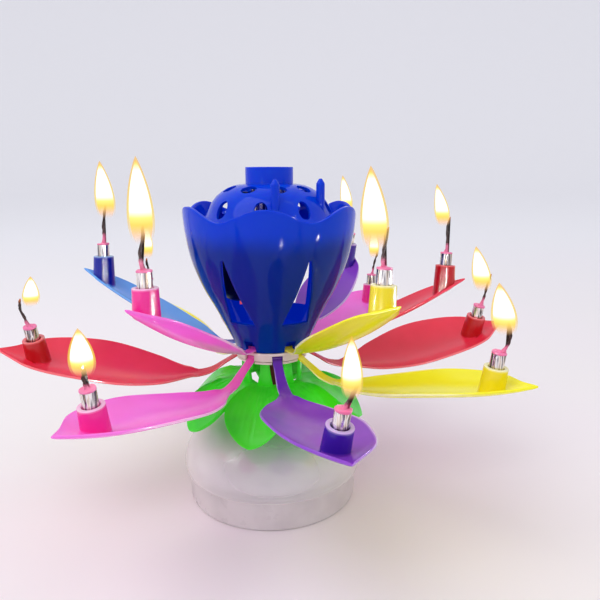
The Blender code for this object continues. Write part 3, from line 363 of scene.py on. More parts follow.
# The white inner housing is a dome over the works. Its flange lies on the rim of the pan,
# and it shows through the clear cover as a soft milky shape.
FLANGE_BOTTOM = 0.0137
FLANGE_TOP = 0.0147
FLANGE_RADIUS = 0.0387
HOUSING_RADIUS = 0.0370
HOUSING_RISE = 0.0240
HOUSING_WALL = 0.0014
SPINDLE_HOLE = 0.0036
DOME_STEPS = 20
HOUSING_SHADE = paint(233, 231, 232)
HOUSING_DEEP = paint(221, 219, 222)


def dome(radius, rise, level):
    """Quarter ellipse from the widest circle up to the rim of the spindle's hole."""
    last = math.acos(SPINDLE_HOLE / radius)
    angles = [last * step / DOME_STEPS for step in range(DOME_STEPS + 1)]
    return [(radius * math.cos(angle), level + rise * math.sin(angle), 0) for angle in angles]


housing_plastic = moulded("housing_plastic", HOUSING_SHADE, HOUSING_DEEP, 0.16, gloss=1)
housing_plastic.set(coat_weight=1, coat_roughness=0.05, coat_ior=1.9)
housing_inside = dome(HOUSING_RADIUS - HOUSING_WALL, HOUSING_RISE - HOUSING_WALL, FLANGE_TOP)
housing = show("works_housing", turned(rounded(
    [(FLANGE_RADIUS, FLANGE_BOTTOM, BASE_RIM_FILLET), (FLANGE_RADIUS, FLANGE_TOP, BASE_RIM_FILLET)]
    + dome(HOUSING_RADIUS, HOUSING_RISE, FLANGE_TOP) + housing_inside[::-1]
    + [(HOUSING_RADIUS - HOUSING_WALL, FLANGE_BOTTOM, 0)]), BASE_STEPS),
    housing_plastic)
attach(housing, "base")
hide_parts("inner_housing")

# The clear cover is a glossy see-through dome with a short skirt over the pan's rim.
# A lip inside it rests on the housing's flange, and shows as a few bright rings.
COVER_RADIUS = 0.0413
COVER_RISE = 0.0257
COVER_WALL = 0.0015
COVER_LEVEL = 0.0170
COVER_TAPER = 0.0007
LIP_BOTTOM = 0.0150
LIP_TOP = 0.0160
LIP_REACH = 0.0021
SKIRT_INSIDE = 0.0390
COVER_SHADE = paint(252, 246, 247)
COVER_HAZE = 0.2
COVER_HAZE_EDGE_ON = 0.6
COVER_HAZE_DRIFT = 0.06
COVER_FLOW_DEPTH = 0.000008

clear_plastic = Finish("clear_cover_plastic", base_color=COVER_SHADE, specular_ior_level=1)
edge_on = clear_plastic.node("LayerWeight", {}, {"Blend": 0.3}, "Facing")
haze = clear_plastic.cloud(90, 3) * COVER_HAZE_DRIFT
clear_plastic.set(alpha=edge_on * COVER_HAZE_EDGE_ON + haze + COVER_HAZE)
clear_plastic.set(roughness=clear_plastic.cloud(160, 4) * 0.08 + 0.03)
clear_plastic.set(normal=clear_plastic.bump(clear_plastic.cloud(180, 2), COVER_FLOW_DEPTH))
cover_bore = COVER_RADIUS - COVER_WALL
cover_inside = dome(cover_bore, COVER_RISE - COVER_WALL, COVER_LEVEL)
cover = show("dome_cover", turned(rounded(
    [(COVER_RADIUS - COVER_TAPER, FLANGE_BOTTOM, BASE_RIM_FILLET)]
    + dome(COVER_RADIUS, COVER_RISE, COVER_LEVEL) + cover_inside[::-1]
    + [(cover_bore, LIP_TOP, 0), (cover_bore - LIP_REACH, LIP_TOP, BASE_RIM_FILLET),
       (cover_bore - LIP_REACH, LIP_BOTTOM, 0), (SKIRT_INSIDE, LIP_BOTTOM, 0),
       (SKIRT_INSIDE, FLANGE_BOTTOM, 0)]), BASE_STEPS), clear_plastic)
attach(cover, "base")
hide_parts("clear_cover")

# The works stay out of sight under the white dome: a motor in its steel can, two nylon gears,
# a lacquered board with three chips, a brass sounder and two button cells.
STEEL_SHADE = paint(196, 198, 202)
STEEL_DEEP = paint(168, 170, 176)
NYLON_SHADE = paint(232, 228, 214)
NYLON_DEEP = paint(220, 214, 196)
BOARD_SHADE = paint(24, 96, 52)
BOARD_DEEP = paint(12, 60, 34)
BRASS_SHADE = paint(214, 172, 92)
BRASS_DEEP = paint(180, 134, 62)
DRAWN_LINE_DEPTH = 0.000008


def sheet_metal(name, shade, deep, roughness):
    """Plated or rolled metal with faint drawn lines and a few dull patches."""
    finish = Finish(name, metallic=1)
    patches = finish.cloud(150, 4)
    finish.set(base_color=finish.mix(patches, shade, deep), roughness=patches * 0.2 + (roughness - 0.08))
    finish.set(normal=finish.bump(finish.cloud(1500, 2, (1, 1, 0.06)), DRAWN_LINE_DEPTH))
    return finish


steel = sheet_metal("motor_steel", STEEL_SHADE, STEEL_DEEP, 0.3)
nylon = moulded("gear_nylon", NYLON_SHADE, NYLON_DEEP, 0.45)
board = moulded("board_lacquer", BOARD_SHADE, BOARD_DEEP, 0.35)
brass = sheet_metal("sounder_brass", BRASS_SHADE, BRASS_DEEP, 0.3)
for node, finish in {"motor": steel, "button_cell_1": steel, "button_cell_2": steel, "motor_pinion": nylon,
                     "drive_gear": nylon, "sound_board": board, "piezo_disc": brass}.items():
    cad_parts[node].data.materials.clear()
    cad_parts[node].data.materials.append(finish.material)

# The spindle is a dark red post that carries the whole flower. Most of it is hidden,
# and a short length shows between the green calyx and the pale ring.
SPINDLE_RADIUS = 0.0030
SPINDLE_FOOT_RADIUS = 0.0020
SPINDLE_SHOULDER_RADIUS = 0.0042
SPINDLE_SHOULDER = (0.0073, 0.0192)
SPINDLE_STEPS = 48
MAROON_SHADE = paint(124, 22, 34)
MAROON_DEEP = paint(98, 14, 24)
RING_STEPS = 96
spindle_low, spindle_high = (end.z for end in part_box("spindle"))
spindle = show("flower_spindle", turned(rounded([
    (0, spindle_low, 0), (SPINDLE_FOOT_RADIUS, spindle_low, BASE_RIM_FILLET),
    (SPINDLE_FOOT_RADIUS, SPINDLE_SHOULDER[0], 0),
    (SPINDLE_SHOULDER_RADIUS, SPINDLE_SHOULDER[0], 0), (SPINDLE_SHOULDER_RADIUS, SPINDLE_SHOULDER[1], 0),
    (SPINDLE_RADIUS, SPINDLE_SHOULDER[1], 0), (SPINDLE_RADIUS, spindle_high, BASE_RIM_FILLET),
    (0, spindle_high, 0)]), SPINDLE_STEPS),
    moulded("spindle_plastic", MAROON_SHADE, MAROON_DEEP, 0.35))
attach(spindle, "flower")
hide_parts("spindle")

# The calyx is one bright green moulding: eight leaves with raised veins droop from a ring of struts
# that widen downwards and carry the pale ring. It is open inside the struts, and eight sloping
# spokes hold it to a hub on the spindle. Light glows through the leaves, and a faint painted glow
# of green emission is added on top.
LEAF_COUNT = 8
LEAF_AZIMUTH = math.radians(-13.5)
CALYX_LEVEL = 0.0560
CALYX_THICKNESS = 0.0014
CALYX_HUB_RADIUS = 0.0056
CALYX_HUB_DEPTH = 0.0110
CALYX_BORE = 0.0033
CALYX_SHOULDER = 0.0160
LEAF_REACH = 0.0426
LEAF_DROOP = 0.0165
LEAF_EDGE_RISE = 0.0038
LEAF_HALF_WIDTH = 0.0130
LEAF_FADE_share = 0.5
LEAF_COLUMNS = 40
LEAF_ROWS = 40
LEAF_OUTLINE_shares = ((0, 1), (0.22, 0.985), (0.50, 0.95), (0.75, 0.905), (0.90, 0.85), (1, 0.79))
VEIN_SPACING = 0.0026
VEIN_HEIGHT = 0.00022
VEIN_POWER = 4
VEIN_END_share = 0.86
VEIN_FADE = 8
STRUT_RADIUS = 0.0130
STRUT_THICKNESS = 0.0016
STRUT_BASE_WIDTH = 0.0074
STRUT_TOP_WIDTH = 0.0040
STRUT_ROWS = 8
STRUT_FLARE_POWER = 1.6
OPENING_RADIUS = 0.0124
HUB_TOP = 0.0500
SPOKE_ENDS = ((0.0046, 0.0492), (0.0134, 0.0548))
SPOKE_WIDTH = 0.0022
RIM_BEVEL = 0.0003
BEVEL_STEPS = 2
GREEN_SHADE = paint(66, 232, 34)
GREEN_DEEP = paint(44, 204, 32)
# Strength of the faint painted glow: green emission on the calyx.
GREEN_PAINTED_GLOW = 0.08


def ease(share):
    """Smooth step from 0 to 1."""
    share = min(max(share, 0), 1)
    return share * share * (3 - 2 * share)


def between(table, place):
    """Second value of a table at a place along the first, on a smooth curve."""
    last = len(table) - 1
    index = 0
    while index < last - 1 and table[index + 1][0] < place:
        index += 1
    (x0, y0), (x1, y1) = table[index], table[index + 1]
    before, after = table[max(index - 1, 0)], table[min(index + 2, last)]
    width = x1 - x0
    slope0 = (y1 - before[1]) / (x1 - before[0])
    slope1 = (after[1] - y0) / (after[0] - x0)
    t = (place - x0) / width
    return ((2 * t ** 3 - 3 * t ** 2 + 1) * y0 + (t ** 3 - 2 * t ** 2 + t) * width * slope0
            + (3 * t ** 2 - 2 * t ** 3) * y1 + (t ** 3 - t ** 2) * width * slope1)


def heading(azimuth):
    """Level unit vector that points out from the axis at an azimuth."""
    return Vector((math.sin(azimuth), -math.cos(azimuth), 0))


def turn_to(azimuth):
    """Turn that takes +X to the given azimuth."""
    return Matrix.Rotation(azimuth - math.pi / 2, 4, "Z")


def bevel_sharp(shape, width):
    """Rounds every sharp edge."""
    sharp = [edge for edge in shape.edges
             if len(edge.link_faces) == 2 and edge.calc_face_angle() > SHARP_ANGLE]
    bmesh.ops.bevel(shape, geom=sharp, offset=width, offset_type="OFFSET", segments=BEVEL_STEPS, profile=0.5,
                    affect="EDGES", material=-1, clamp_overlap=True)


def combine(target, tool, operation="UNION"):
    """Joins a solid to another, or cuts it away, and keeps only the result."""
    modifier = target.modifiers.new(operation, "BOOLEAN")
    modifier.operation = operation
    modifier.object = tool
    graph = bpy.context.evaluated_depsgraph_get()
    result = bpy.data.meshes.new_from_object(target.evaluated_get(graph))
    target.modifiers.remove(modifier)
    target.data = result
    result.shade_smooth()
    result.set_sharp_from_angle(angle=SHARP_ANGLE)
    bpy.data.objects.remove(tool)


def leaf_point(round_share, out_share):
    """Point on the calyx from its share of the way round and of the way out to the edge."""
    turn = round_share * LEAF_COUNT
    off = turn - math.floor(turn + 0.5)
    azimuth = LEAF_AZIMUTH + round_share * math.tau
    reach = between(LEAF_OUTLINE_shares, abs(2 * off)) * LEAF_REACH
    inner = (CALYX_HUB_RADIUS + CALYX_BORE) / 2
    radius = inner + (reach - inner) * out_share
    droop_share = max(radius - CALYX_SHOULDER, 0) / (LEAF_REACH - CALYX_SHOULDER)
    across = radius * math.sin(off * math.tau / LEAF_COUNT)
    fade = ease(radius / CALYX_SHOULDER - LEAF_FADE_share)
    edge_share = across / LEAF_HALF_WIDTH
    height = CALYX_LEVEL - LEAF_DROOP * droop_share ** 2 + LEAF_EDGE_RISE * fade * edge_share ** 2
    spread = across / VEIN_SPACING * (1 + (1 - out_share) ** 2)
    vein = max(math.cos(spread * math.tau), 0) ** VEIN_POWER * VEIN_HEIGHT * fade
    vein *= 1 - ease((out_share - VEIN_END_share) * VEIN_FADE)
    return radius * heading(azimuth) + Vector((0, 0, height + vein))


calyx_shape = bmesh.new()
bmesh.ops.create_grid(calyx_shape, x_segments=LEAF_COUNT * LEAF_COLUMNS, y_segments=LEAF_ROWS, size=0.5)
for corner in calyx_shape.verts:
    corner.co = leaf_point(corner.co.x + 0.5, corner.co.y + 0.5)
bmesh.ops.remove_doubles(calyx_shape, verts=calyx_shape.verts, dist=MERGE_DISTANCE)
bmesh.ops.recalc_face_normals(calyx_shape, faces=calyx_shape.faces)
if sum(face.normal.z for face in calyx_shape.faces) < 0:
    bmesh.ops.reverse_faces(calyx_shape, faces=calyx_shape.faces)
bmesh.ops.solidify(calyx_shape, geom=calyx_shape.faces[:], thickness=CALYX_THICKNESS)
bevel_sharp(calyx_shape, RIM_BEVEL)
green_plastic = moulded("green_calyx_plastic", GREEN_SHADE, GREEN_DEEP, 0.2, glow=0.4)
# Painted glow on the leaves.
green_plastic.set(emission_color=GREEN_DEEP, emission_strength=GREEN_PAINTED_GLOW)
calyx = show("leafy_calyx", calyx_shape, green_plastic)
hub_bottom = CALYX_LEVEL - CALYX_HUB_DEPTH
opening_top = CALYX_LEVEL + STRUT_RADIUS
combine(calyx, show("opening", turned([
    (0, hub_bottom), (OPENING_RADIUS, hub_bottom), (OPENING_RADIUS, opening_top), (0, opening_top)],
    RING_STEPS)), "DIFFERENCE")
combine(calyx, show("hub", turned(rounded([
    (CALYX_BORE, hub_bottom, 0), (CALYX_HUB_RADIUS, hub_bottom, RIM_BEVEL),
    (CALYX_HUB_RADIUS, HUB_TOP, RIM_BEVEL), (CALYX_BORE, HUB_TOP, 0)]), SPINDLE_STEPS)))
strut_bottom = CALYX_LEVEL - CALYX_THICKNESS / 2
strut_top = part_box("calyx")[1].z
leaf_turns = [turn_to(LEAF_AZIMUTH + leaf * math.tau / LEAF_COUNT) for leaf in range(LEAF_COUNT)]
for leaf_turn in leaf_turns:
    spoke = bmesh.new()
    bmesh.ops.create_cube(spoke, size=1)
    for corner in spoke.verts:
        radius, level = SPOKE_ENDS[corner.co.x > 0]
        corner.co = (radius, corner.co.y * SPOKE_WIDTH, level + corner.co.z * CALYX_THICKNESS)
    bmesh.ops.transform(spoke, verts=spoke.verts, matrix=leaf_turn)
    combine(calyx, show("spoke", spoke))
for leaf_turn in leaf_turns:
    strut = bmesh.new()
    bmesh.ops.create_cube(strut, size=1)
    upright = [edge for edge in strut.edges if abs(edge.verts[0].co.z - edge.verts[1].co.z) > 0.5]
    bmesh.ops.subdivide_edges(strut, edges=upright, cuts=STRUT_ROWS, use_grid_fill=True)
    for corner in strut.verts:
        share = corner.co.z + 0.5
        width = STRUT_TOP_WIDTH + (STRUT_BASE_WIDTH - STRUT_TOP_WIDTH) * (1 - share) ** STRUT_FLARE_POWER
        corner.co = (STRUT_RADIUS + corner.co.x * STRUT_THICKNESS, corner.co.y * width,
                     strut_bottom + (strut_top - strut_bottom) * share)
    bevel_sharp(strut, RIM_BEVEL)
    bmesh.ops.transform(strut, verts=strut.verts, matrix=leaf_turn)
    combine(calyx, show("strut", strut))
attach(calyx, "flower")
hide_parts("calyx")

# The pale ring holds the eight lower hinge pins in slots that are open below and at the rim.
# A thin plate of the same pinkish plastic is pressed under it and keeps the pins in.
RING_RADIUS = 0.0166
RING_BEVEL = 0.0005
RING_BORE = 0.0033
RING_SLOT_HEIGHT = 0.0027
KEEPER_RADIUS = 0.0162
LOWER_COUNT = 8
LOWER_AZIMUTH = math.radians(-81)
HINGE_RADIUS = 0.0140
STRAP_WIDTH = 0.0042
STRAP_TAIL = 0.0007
PIN_RADIUS = 0.0009
PIN_HALF_LENGTH = 0.0040
SLIDE_GAP = 0.0003
CUT_OVERRUN = 0.002
PALE_SHADE = paint(232, 214, 208)
PALE_DEEP = paint(216, 192, 188)


def blocks_round(count, first, inner, outer, half_width, bottom, top):
    """Equal level blocks round the axis, from an inner to an outer radius."""
    shape = bmesh.new()
    for index in range(count):
        size = Matrix.Diagonal((outer - inner, 2 * half_width, top - bottom, 1))
        middle = Matrix.Translation(((inner + outer) / 2, 0, (bottom + top) / 2))
        turn = turn_to(first + index * math.tau / count)
        bmesh.ops.create_cube(shape, size=1, matrix=turn @ middle @ size)
    return show("blocks", shape)


def cut_hinges(target, count, first, level, slot_height, outer):
    """Cuts the straps' slots and the pins' pockets of one tier."""
    bottom = level - CUT_OVERRUN
    room = PIN_RADIUS + SLIDE_GAP
    combine(target, blocks_round(count, first, HINGE_RADIUS - STRAP_TAIL - room, outer + CUT_OVERRUN,
                                 STRAP_WIDTH / 2 + SLIDE_GAP, bottom, level + slot_height), "DIFFERENCE")
    combine(target, blocks_round(count, first, HINGE_RADIUS - room, HINGE_RADIUS + room,
                                 PIN_HALF_LENGTH + SLIDE_GAP, bottom,
                                 level + 2 * PIN_RADIUS + SLIDE_GAP), "DIFFERENCE")


pale_plastic = moulded("pale_ring_plastic", PALE_SHADE, PALE_DEEP, 0.35)
ring_bottom, ring_top = (end.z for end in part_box("petal_ring"))
ring = show("hinge_ring", turned(rounded([
    (RING_BORE, ring_bottom, 0), (RING_RADIUS, ring_bottom, RING_BEVEL), (RING_RADIUS, ring_top, RING_BEVEL),
    (RING_BORE, ring_top, 0)]), RING_STEPS), pale_plastic)
cut_hinges(ring, LOWER_COUNT, LOWER_AZIMUTH, ring_bottom, RING_SLOT_HEIGHT, RING_RADIUS)
keeper_bottom, keeper_top = (end.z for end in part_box("ring_keeper"))
keeper = show("keeper_plate", turned(rounded([
    (RING_BORE, keeper_bottom, 0), (KEEPER_RADIUS, keeper_bottom, RIM_BEVEL),
    (KEEPER_RADIUS, keeper_top, RIM_BEVEL / 2), (RING_BORE, keeper_top, 0)]), RING_STEPS), pale_plastic)
combine(keeper, blocks_round(LOWER_COUNT, LOWER_AZIMUTH, HINGE_RADIUS - STRAP_TAIL - PIN_RADIUS,
                             KEEPER_RADIUS + CUT_OVERRUN, STRAP_WIDTH / 2 + SLIDE_GAP,
                             keeper_bottom - CUT_OVERRUN, keeper_top + CUT_OVERRUN), "DIFFERENCE")
for piece, node in ((ring, "petal_ring"), (keeper, "ring_keeper")):
    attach(piece, "flower")
    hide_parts(node)

# The bud cup is a thin glossy blue wall with six lobes and a tall pointed window in each valley.
# Its thick foot sits on the pale ring and holds the six upper hinge pins. Below the ledge that
# carries the pod the blue is darkened with painted shade for the ledge's shadow through the wall,
# and the inside has a dim blue painted glow.
CUP_LEVEL = 0.0720
CUP_RADIUS = 0.0382
CUP_HEIGHT = 0.0635
CUP_WALL = 0.0014
CUP_FLOOR = 0.0066
CUP_LOBES = 6
CUP_LOBE_AZIMUTH = math.radians(-3)
CUP_RIM_DROP = 0.0054
CUP_RIM_POWER = 1.05
CUP_CREASE = 0.0005
CUP_VALLEY_ROUNDING = 0.6
CUP_SLOT_HEIGHT = 0.0053
CUP_PROFILE_shares = ((0, 0.430), (0.030, 0.445), (0.087, 0.493), (0.301, 0.675), (0.440, 0.800),
                      (0.635, 0.921), (0.816, 0.976), (1, 1))
CUP_COLUMNS = 32
CUP_WINDOW_COLUMNS = 4
CUP_ROWS_BELOW = 8
CUP_ROWS_WINDOW = 16
CUP_ROWS_ABOVE = 14
WINDOW_BOTTOM = 0.0140
WINDOW_HEIGHT = 0.0288
WINDOW_HALF_WIDTH = 0.0064
WINDOW_TOP_HALF_WIDTH = 0.0007
LEDGE_TOP = 0.1260
LEDGE_THICKNESS = 0.0016
LEDGE_REACH = 0.0042
LEDGE_SINK_share = 0.3
# Painted shade: where the ledge's shadow through the wall begins and ends, and how its edge drifts.
SHADOW_BELOW_LEDGE = 0.007
SHADOW_ABOVE_LEDGE = 0.004
SHADOW_EDGE_DRIFT = 0.006
INSIDE_DEPTH_share = 0.9
UPPER_COUNT = 6
UPPER_AZIMUTH = math.radians(-92)
BLUE_SHADE = paint(4, 62, 212)
# Darker blue painted below the ledge as the ledge's shadow.
BLUE_LEDGE_SHADOW = paint(4, 44, 150)
# Dim blue painted glow on the cup's inner face.
BLUE_INSIDE_PAINTED_GLOW = paint(0, 22, 130)
cup_rows = CUP_ROWS_BELOW + CUP_ROWS_WINDOW + CUP_ROWS_ABOVE


def cup_radius(height_share):
    """Radius of the cup's outer face at a share of its height."""
    return between(CUP_PROFILE_shares, height_share) * CUP_RADIUS


def cup_point(round_share, row_share):
    """Point on the cup's outer face. Columns crowd together where a window is."""
    row = row_share * cup_rows
    window_top = WINDOW_BOTTOM + WINDOW_HEIGHT
    above_window = CUP_HEIGHT - window_top
    if row < CUP_ROWS_BELOW:
        height = WINDOW_BOTTOM * row / CUP_ROWS_BELOW
    elif row < CUP_ROWS_BELOW + CUP_ROWS_WINDOW:
        height = WINDOW_BOTTOM + WINDOW_HEIGHT * (row - CUP_ROWS_BELOW) / CUP_ROWS_WINDOW
    else:
        height = window_top + above_window * (row - CUP_ROWS_BELOW - CUP_ROWS_WINDOW) / CUP_ROWS_ABOVE
    radius = cup_radius(height / CUP_HEIGHT)
    half_arc = radius * math.pi / CUP_LOBES
    plain = CUP_WINDOW_COLUMNS * 2 / CUP_COLUMNS
    up_share = min(max((height - WINDOW_BOTTOM) / WINDOW_HEIGHT, 0), 1)
    opened = WINDOW_HALF_WIDTH + (WINDOW_TOP_HALF_WIDTH - WINDOW_HALF_WIDTH) * up_share
    if height < WINDOW_BOTTOM:
        near = ease(height / WINDOW_BOTTOM)
    else:
        near = 1 - ease((height - window_top) / above_window)
    edge = plain + (opened / half_arc - plain) * near
    sector = round_share * CUP_LOBES
    off = 2 * (sector - math.floor(sector) - 0.5)
    if abs(off) < plain:
        spread = off / plain * edge
    else:
        spread = math.copysign(edge + (abs(off) - plain) / (1 - plain) * (1 - edge), off)
    azimuth = CUP_LOBE_AZIMUTH + (math.floor(sector) + 0.5 + spread / 2) * math.tau / CUP_LOBES
    rise = math.hypot(math.sin(spread * math.pi / 2), CUP_VALLEY_ROUNDING) - CUP_VALLEY_ROUNDING
    valley = 1 - min(rise / (math.hypot(1, CUP_VALLEY_ROUNDING) - CUP_VALLEY_ROUNDING), 1)
    grown = ease((height - CUP_FLOOR) / (WINDOW_BOTTOM - CUP_FLOOR))
    drop_share = ease((height - window_top) / above_window)
    drop = CUP_RIM_DROP * drop_share * (1 - (1 - valley) ** CUP_RIM_POWER)
    creased = radius - grown * valley * CUP_CREASE
    return creased * heading(azimuth) + Vector((0, 0, CUP_LEVEL + height - drop))


cup_shape = bmesh.new()
bmesh.ops.create_grid(cup_shape, x_segments=CUP_LOBES * CUP_COLUMNS, y_segments=cup_rows, size=0.5)
window_faces = []
for face in cup_shape.faces:
    middle = face.calc_center_median()
    sector = (middle.x + 0.5) * CUP_LOBES
    row = (middle.y + 0.5) * cup_rows
    in_columns = abs(sector - math.floor(sector) - 0.5) < CUP_WINDOW_COLUMNS / CUP_COLUMNS
    if in_columns and CUP_ROWS_BELOW < row < CUP_ROWS_BELOW + CUP_ROWS_WINDOW:
        window_faces.append(face)
bmesh.ops.delete(cup_shape, geom=window_faces, context="FACES")
for corner in cup_shape.verts:
    corner.co = cup_point(corner.co.x + 0.5, corner.co.y + 0.5)
bmesh.ops.remove_doubles(cup_shape, verts=cup_shape.verts, dist=MERGE_DISTANCE)
bmesh.ops.recalc_face_normals(cup_shape, faces=cup_shape.faces)
if sum(face.normal.dot(face.calc_center_median() * Vector((1, 1, 0))) for face in cup_shape.faces) < 0:
    bmesh.ops.reverse_faces(cup_shape, faces=cup_shape.faces)
bmesh.ops.solidify(cup_shape, geom=cup_shape.faces[:], thickness=CUP_WALL)
bevel_sharp(cup_shape, RIM_BEVEL)
blue_plastic = moulded("blue_cup_plastic", BLUE_SHADE, BLUE_LEDGE_SHADOW, 0.03, gloss=0.16, glow=0.35)
# Painted shade: below the ledge's level the blue is mixed to the darker ledge-shadow blue.
blue_level = blue_plastic.node("SeparateXYZ", {}, {"Vector": blue_plastic.place()}, "Z")
blue_level += blue_plastic.cloud(40, 3) * SHADOW_EDGE_DRIFT
ledge_shadow = blue_plastic.steps(blue_level, LEDGE_TOP - SHADOW_BELOW_LEDGE, LEDGE_TOP + SHADOW_ABOVE_LEDGE)
blue_plastic.set(base_color=blue_plastic.mix(ledge_shadow, BLUE_LEDGE_SHADOW, BLUE_SHADE))
# Painted glow: the inner face between floor and ledge emits a dim blue, in place of light through the walls.
blue_plastic.set(emission_color=blue_plastic.mix(blue_plastic.mark("inside"), BLACK, BLUE_INSIDE_PAINTED_GLOW),
                 emission_strength=1)
cup = show("bud_wall", cup_shape, blue_plastic)
foot_radius = cup_radius(0) - CUP_WALL / 2
foot_top_radius = cup_radius(CUP_FLOOR / CUP_HEIGHT) - CUP_WALL / 2
combine(cup, show("foot", turned([
    (RING_BORE, CUP_LEVEL), (foot_radius, CUP_LEVEL), (foot_top_radius, CUP_LEVEL + CUP_FLOOR),
    (RING_BORE, CUP_LEVEL + CUP_FLOOR)], RING_STEPS)))
ledge_outside = cup_radius((LEDGE_TOP - CUP_LEVEL) / CUP_HEIGHT) - CUP_WALL * (1 + LEDGE_SINK_share)
ledge_inside = ledge_outside - LEDGE_REACH + CUP_WALL * LEDGE_SINK_share
combine(cup, show("ledge", turned(rounded([
    (ledge_inside, LEDGE_TOP - LEDGE_THICKNESS, 0), (ledge_outside, LEDGE_TOP - LEDGE_THICKNESS, 0),
    (ledge_outside, LEDGE_TOP, 0), (ledge_inside, LEDGE_TOP, RIM_BEVEL)]), RING_STEPS)))
cut_hinges(cup, UPPER_COUNT, UPPER_AZIMUTH, CUP_LEVEL, CUP_SLOT_HEIGHT, CUP_RADIUS)
# Marks the inner face that gets the painted glow.
inside = cup.data.attributes.new("inside", "FLOAT", "POINT")
for point in cup.data.vertices:
    height_share = min(max((point.co.z - CUP_LEVEL) / CUP_HEIGHT, 0), 1)
    is_inside = point.co.xy.length < cup_radius(height_share) - CUP_WALL * INSIDE_DEPTH_share
    inside.data[point.index].value = is_inside and CUP_LEVEL + CUP_FLOOR / 2 < point.co.z < LEDGE_TOP
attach(cup, "flower")
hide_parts("bud_cup")

# The pod is a pierced blue dome on the cup's ledge. Eighteen oval holes let the sparks' heat out,
# a short boss holds the fountain, and two pegs stand up beside it.
POD_RADIUS = 0.0330
POD_LEVEL = 0.1263
POD_RISE = 0.0179
POD_WALL = 0.0013
POD_PROFILE_shares = ((1, 0), (0.93, 0.12), (0.84, 0.27), (0.80, 0.43), (0.755, 0.58), (0.70, 0.71),
                      (0.627, 0.82), (0.55, 0.90), (0.464, 0.96), (0.39, 0.985), (0.315, 1))
POD_STEPS = 144
POD_BOSS_HEIGHT = 0.0070
POD_BOSS_WALL = 0.0021
POD_HOLE_COUNT = 9
POD_HOLE_LENGTH = 0.0080
POD_HOLE_STEPS = 32
POD_HOLE_ROWS_shares = ((0.797, 0.43), (0.55, 0.89))
POD_HOLE_HALVES = ((0.0042, 0.0028), (0.0030, 0.0034))
POD_HOLE_LEANS = (math.radians(28), math.radians(65))
POD_HOLE_AZIMUTHS = (math.radians(-48), math.radians(-68))
PEG_RADIUS = 0.0018
PEG_TIP_RADIUS = 0.0006
PEG_HEIGHT = 0.0145
PEG_TIP_HEIGHT = 0.0020
PEG_RING_RADIUS = 0.0250
PEG_FOOT = 0.0057
PEG_AZIMUTHS = (math.radians(5), math.radians(58))


def inset(profile, distance):
    """Profile moved inwards by a wall, square to itself."""
    moved = []
    last = len(profile) - 1
    for index, (radius, height) in enumerate(profile):
        before, after = profile[max(index - 1, 0)], profile[min(index + 1, last)]
        along = Vector((after[0] - before[0], after[1] - before[1])).normalized()
        moved.append((radius - distance * along.y, height + distance * along.x))
    return moved


pod_outside = [(radius * POD_RADIUS, POD_LEVEL + height * POD_RISE) for radius, height in POD_PROFILE_shares]
pod_boss_radius = pod_outside[-1][0]
pod_bore = pod_boss_radius - POD_BOSS_WALL
pod_top = POD_LEVEL + POD_RISE + POD_BOSS_HEIGHT
pod_inside = [(POD_RADIUS - POD_WALL, POD_LEVEL)] + inset(pod_outside, POD_WALL)[1:-1]
pod_corners = [(radius, height, 0) for radius, height in pod_outside]
pod_corners += [(pod_boss_radius, pod_top, RIM_BEVEL), (pod_bore, pod_top, RIM_BEVEL),
                (pod_bore, pod_inside[-1][1], 0)]
pod_corners += [(radius, height, 0) for radius, height in pod_inside[::-1]]
pod = show("pierced_pod", turned(rounded(pod_corners), POD_STEPS), blue_plastic)
for azimuth in PEG_AZIMUTHS:
    peg = turned(rounded([
        (0, 0, 0), (PEG_RADIUS, 0, 0), (PEG_RADIUS, PEG_HEIGHT - PEG_TIP_HEIGHT, RIM_BEVEL),
        (PEG_TIP_RADIUS, PEG_HEIGHT, RIM_BEVEL), (0, PEG_HEIGHT, 0)]), POD_HOLE_STEPS)
    peg_place = PEG_RING_RADIUS * heading(azimuth) + Vector((0, 0, POD_LEVEL + PEG_FOOT))
    bmesh.ops.translate(peg, verts=peg.verts, vec=peg_place)
    combine(pod, show("peg", peg))
holes = bmesh.new()
for (radius_share, rise_share), (half_slope, half_round), lean, first in zip(
        POD_HOLE_ROWS_shares, POD_HOLE_HALVES, POD_HOLE_LEANS, POD_HOLE_AZIMUTHS):
    for index in range(POD_HOLE_COUNT):
        middle = Matrix.Translation((radius_share * POD_RADIUS, 0, POD_LEVEL + rise_share * POD_RISE))
        turn = turn_to(first + index * math.tau / POD_HOLE_COUNT)
        oval = Matrix.Diagonal((half_slope, half_round, POD_HOLE_LENGTH, 1))
        bmesh.ops.create_cone(holes, cap_ends=True, segments=POD_HOLE_STEPS, radius1=1, radius2=1, depth=1,
                              matrix=turn @ middle @ Matrix.Rotation(math.pi / 2 - lean, 4, "Y") @ oval)
combine(pod, show("holes", holes), "DIFFERENCE")
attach(pod, "flower")
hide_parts("pod_dome")

# The fountain is a plain foil-covered tube in the pod's boss, open above.
# It stands a little below the boss's rim.
FOUNTAIN_WALL = 0.0014
FOUNTAIN_FLOOR = 0.0030
CREASE_DEPTH = 0.00015
# The foil's silver with painted reflections: dark and white bands, and warm and lavender tints, along its
# creases.
FOIL_PAINTED_REFLECTIONS = (
    (0.30, paint(58, 50, 54)), (0.38, paint(120, 114, 116)), (0.44, paint(226, 212, 196)),
    (0.50, paint(250, 248, 248)), (0.56, paint(150, 144, 150)), (0.61, paint(70, 60, 66)),
    (0.67, paint(214, 190, 156)), (0.75, paint(140, 120, 172)))
fountain_low, fountain_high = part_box("fountain_tube")
fountain_radius = fountain_high.x
silver = Finish("crinkled_foil", metallic=1)
creases = silver.cloud(620, 3, (1, 1, 0.06))
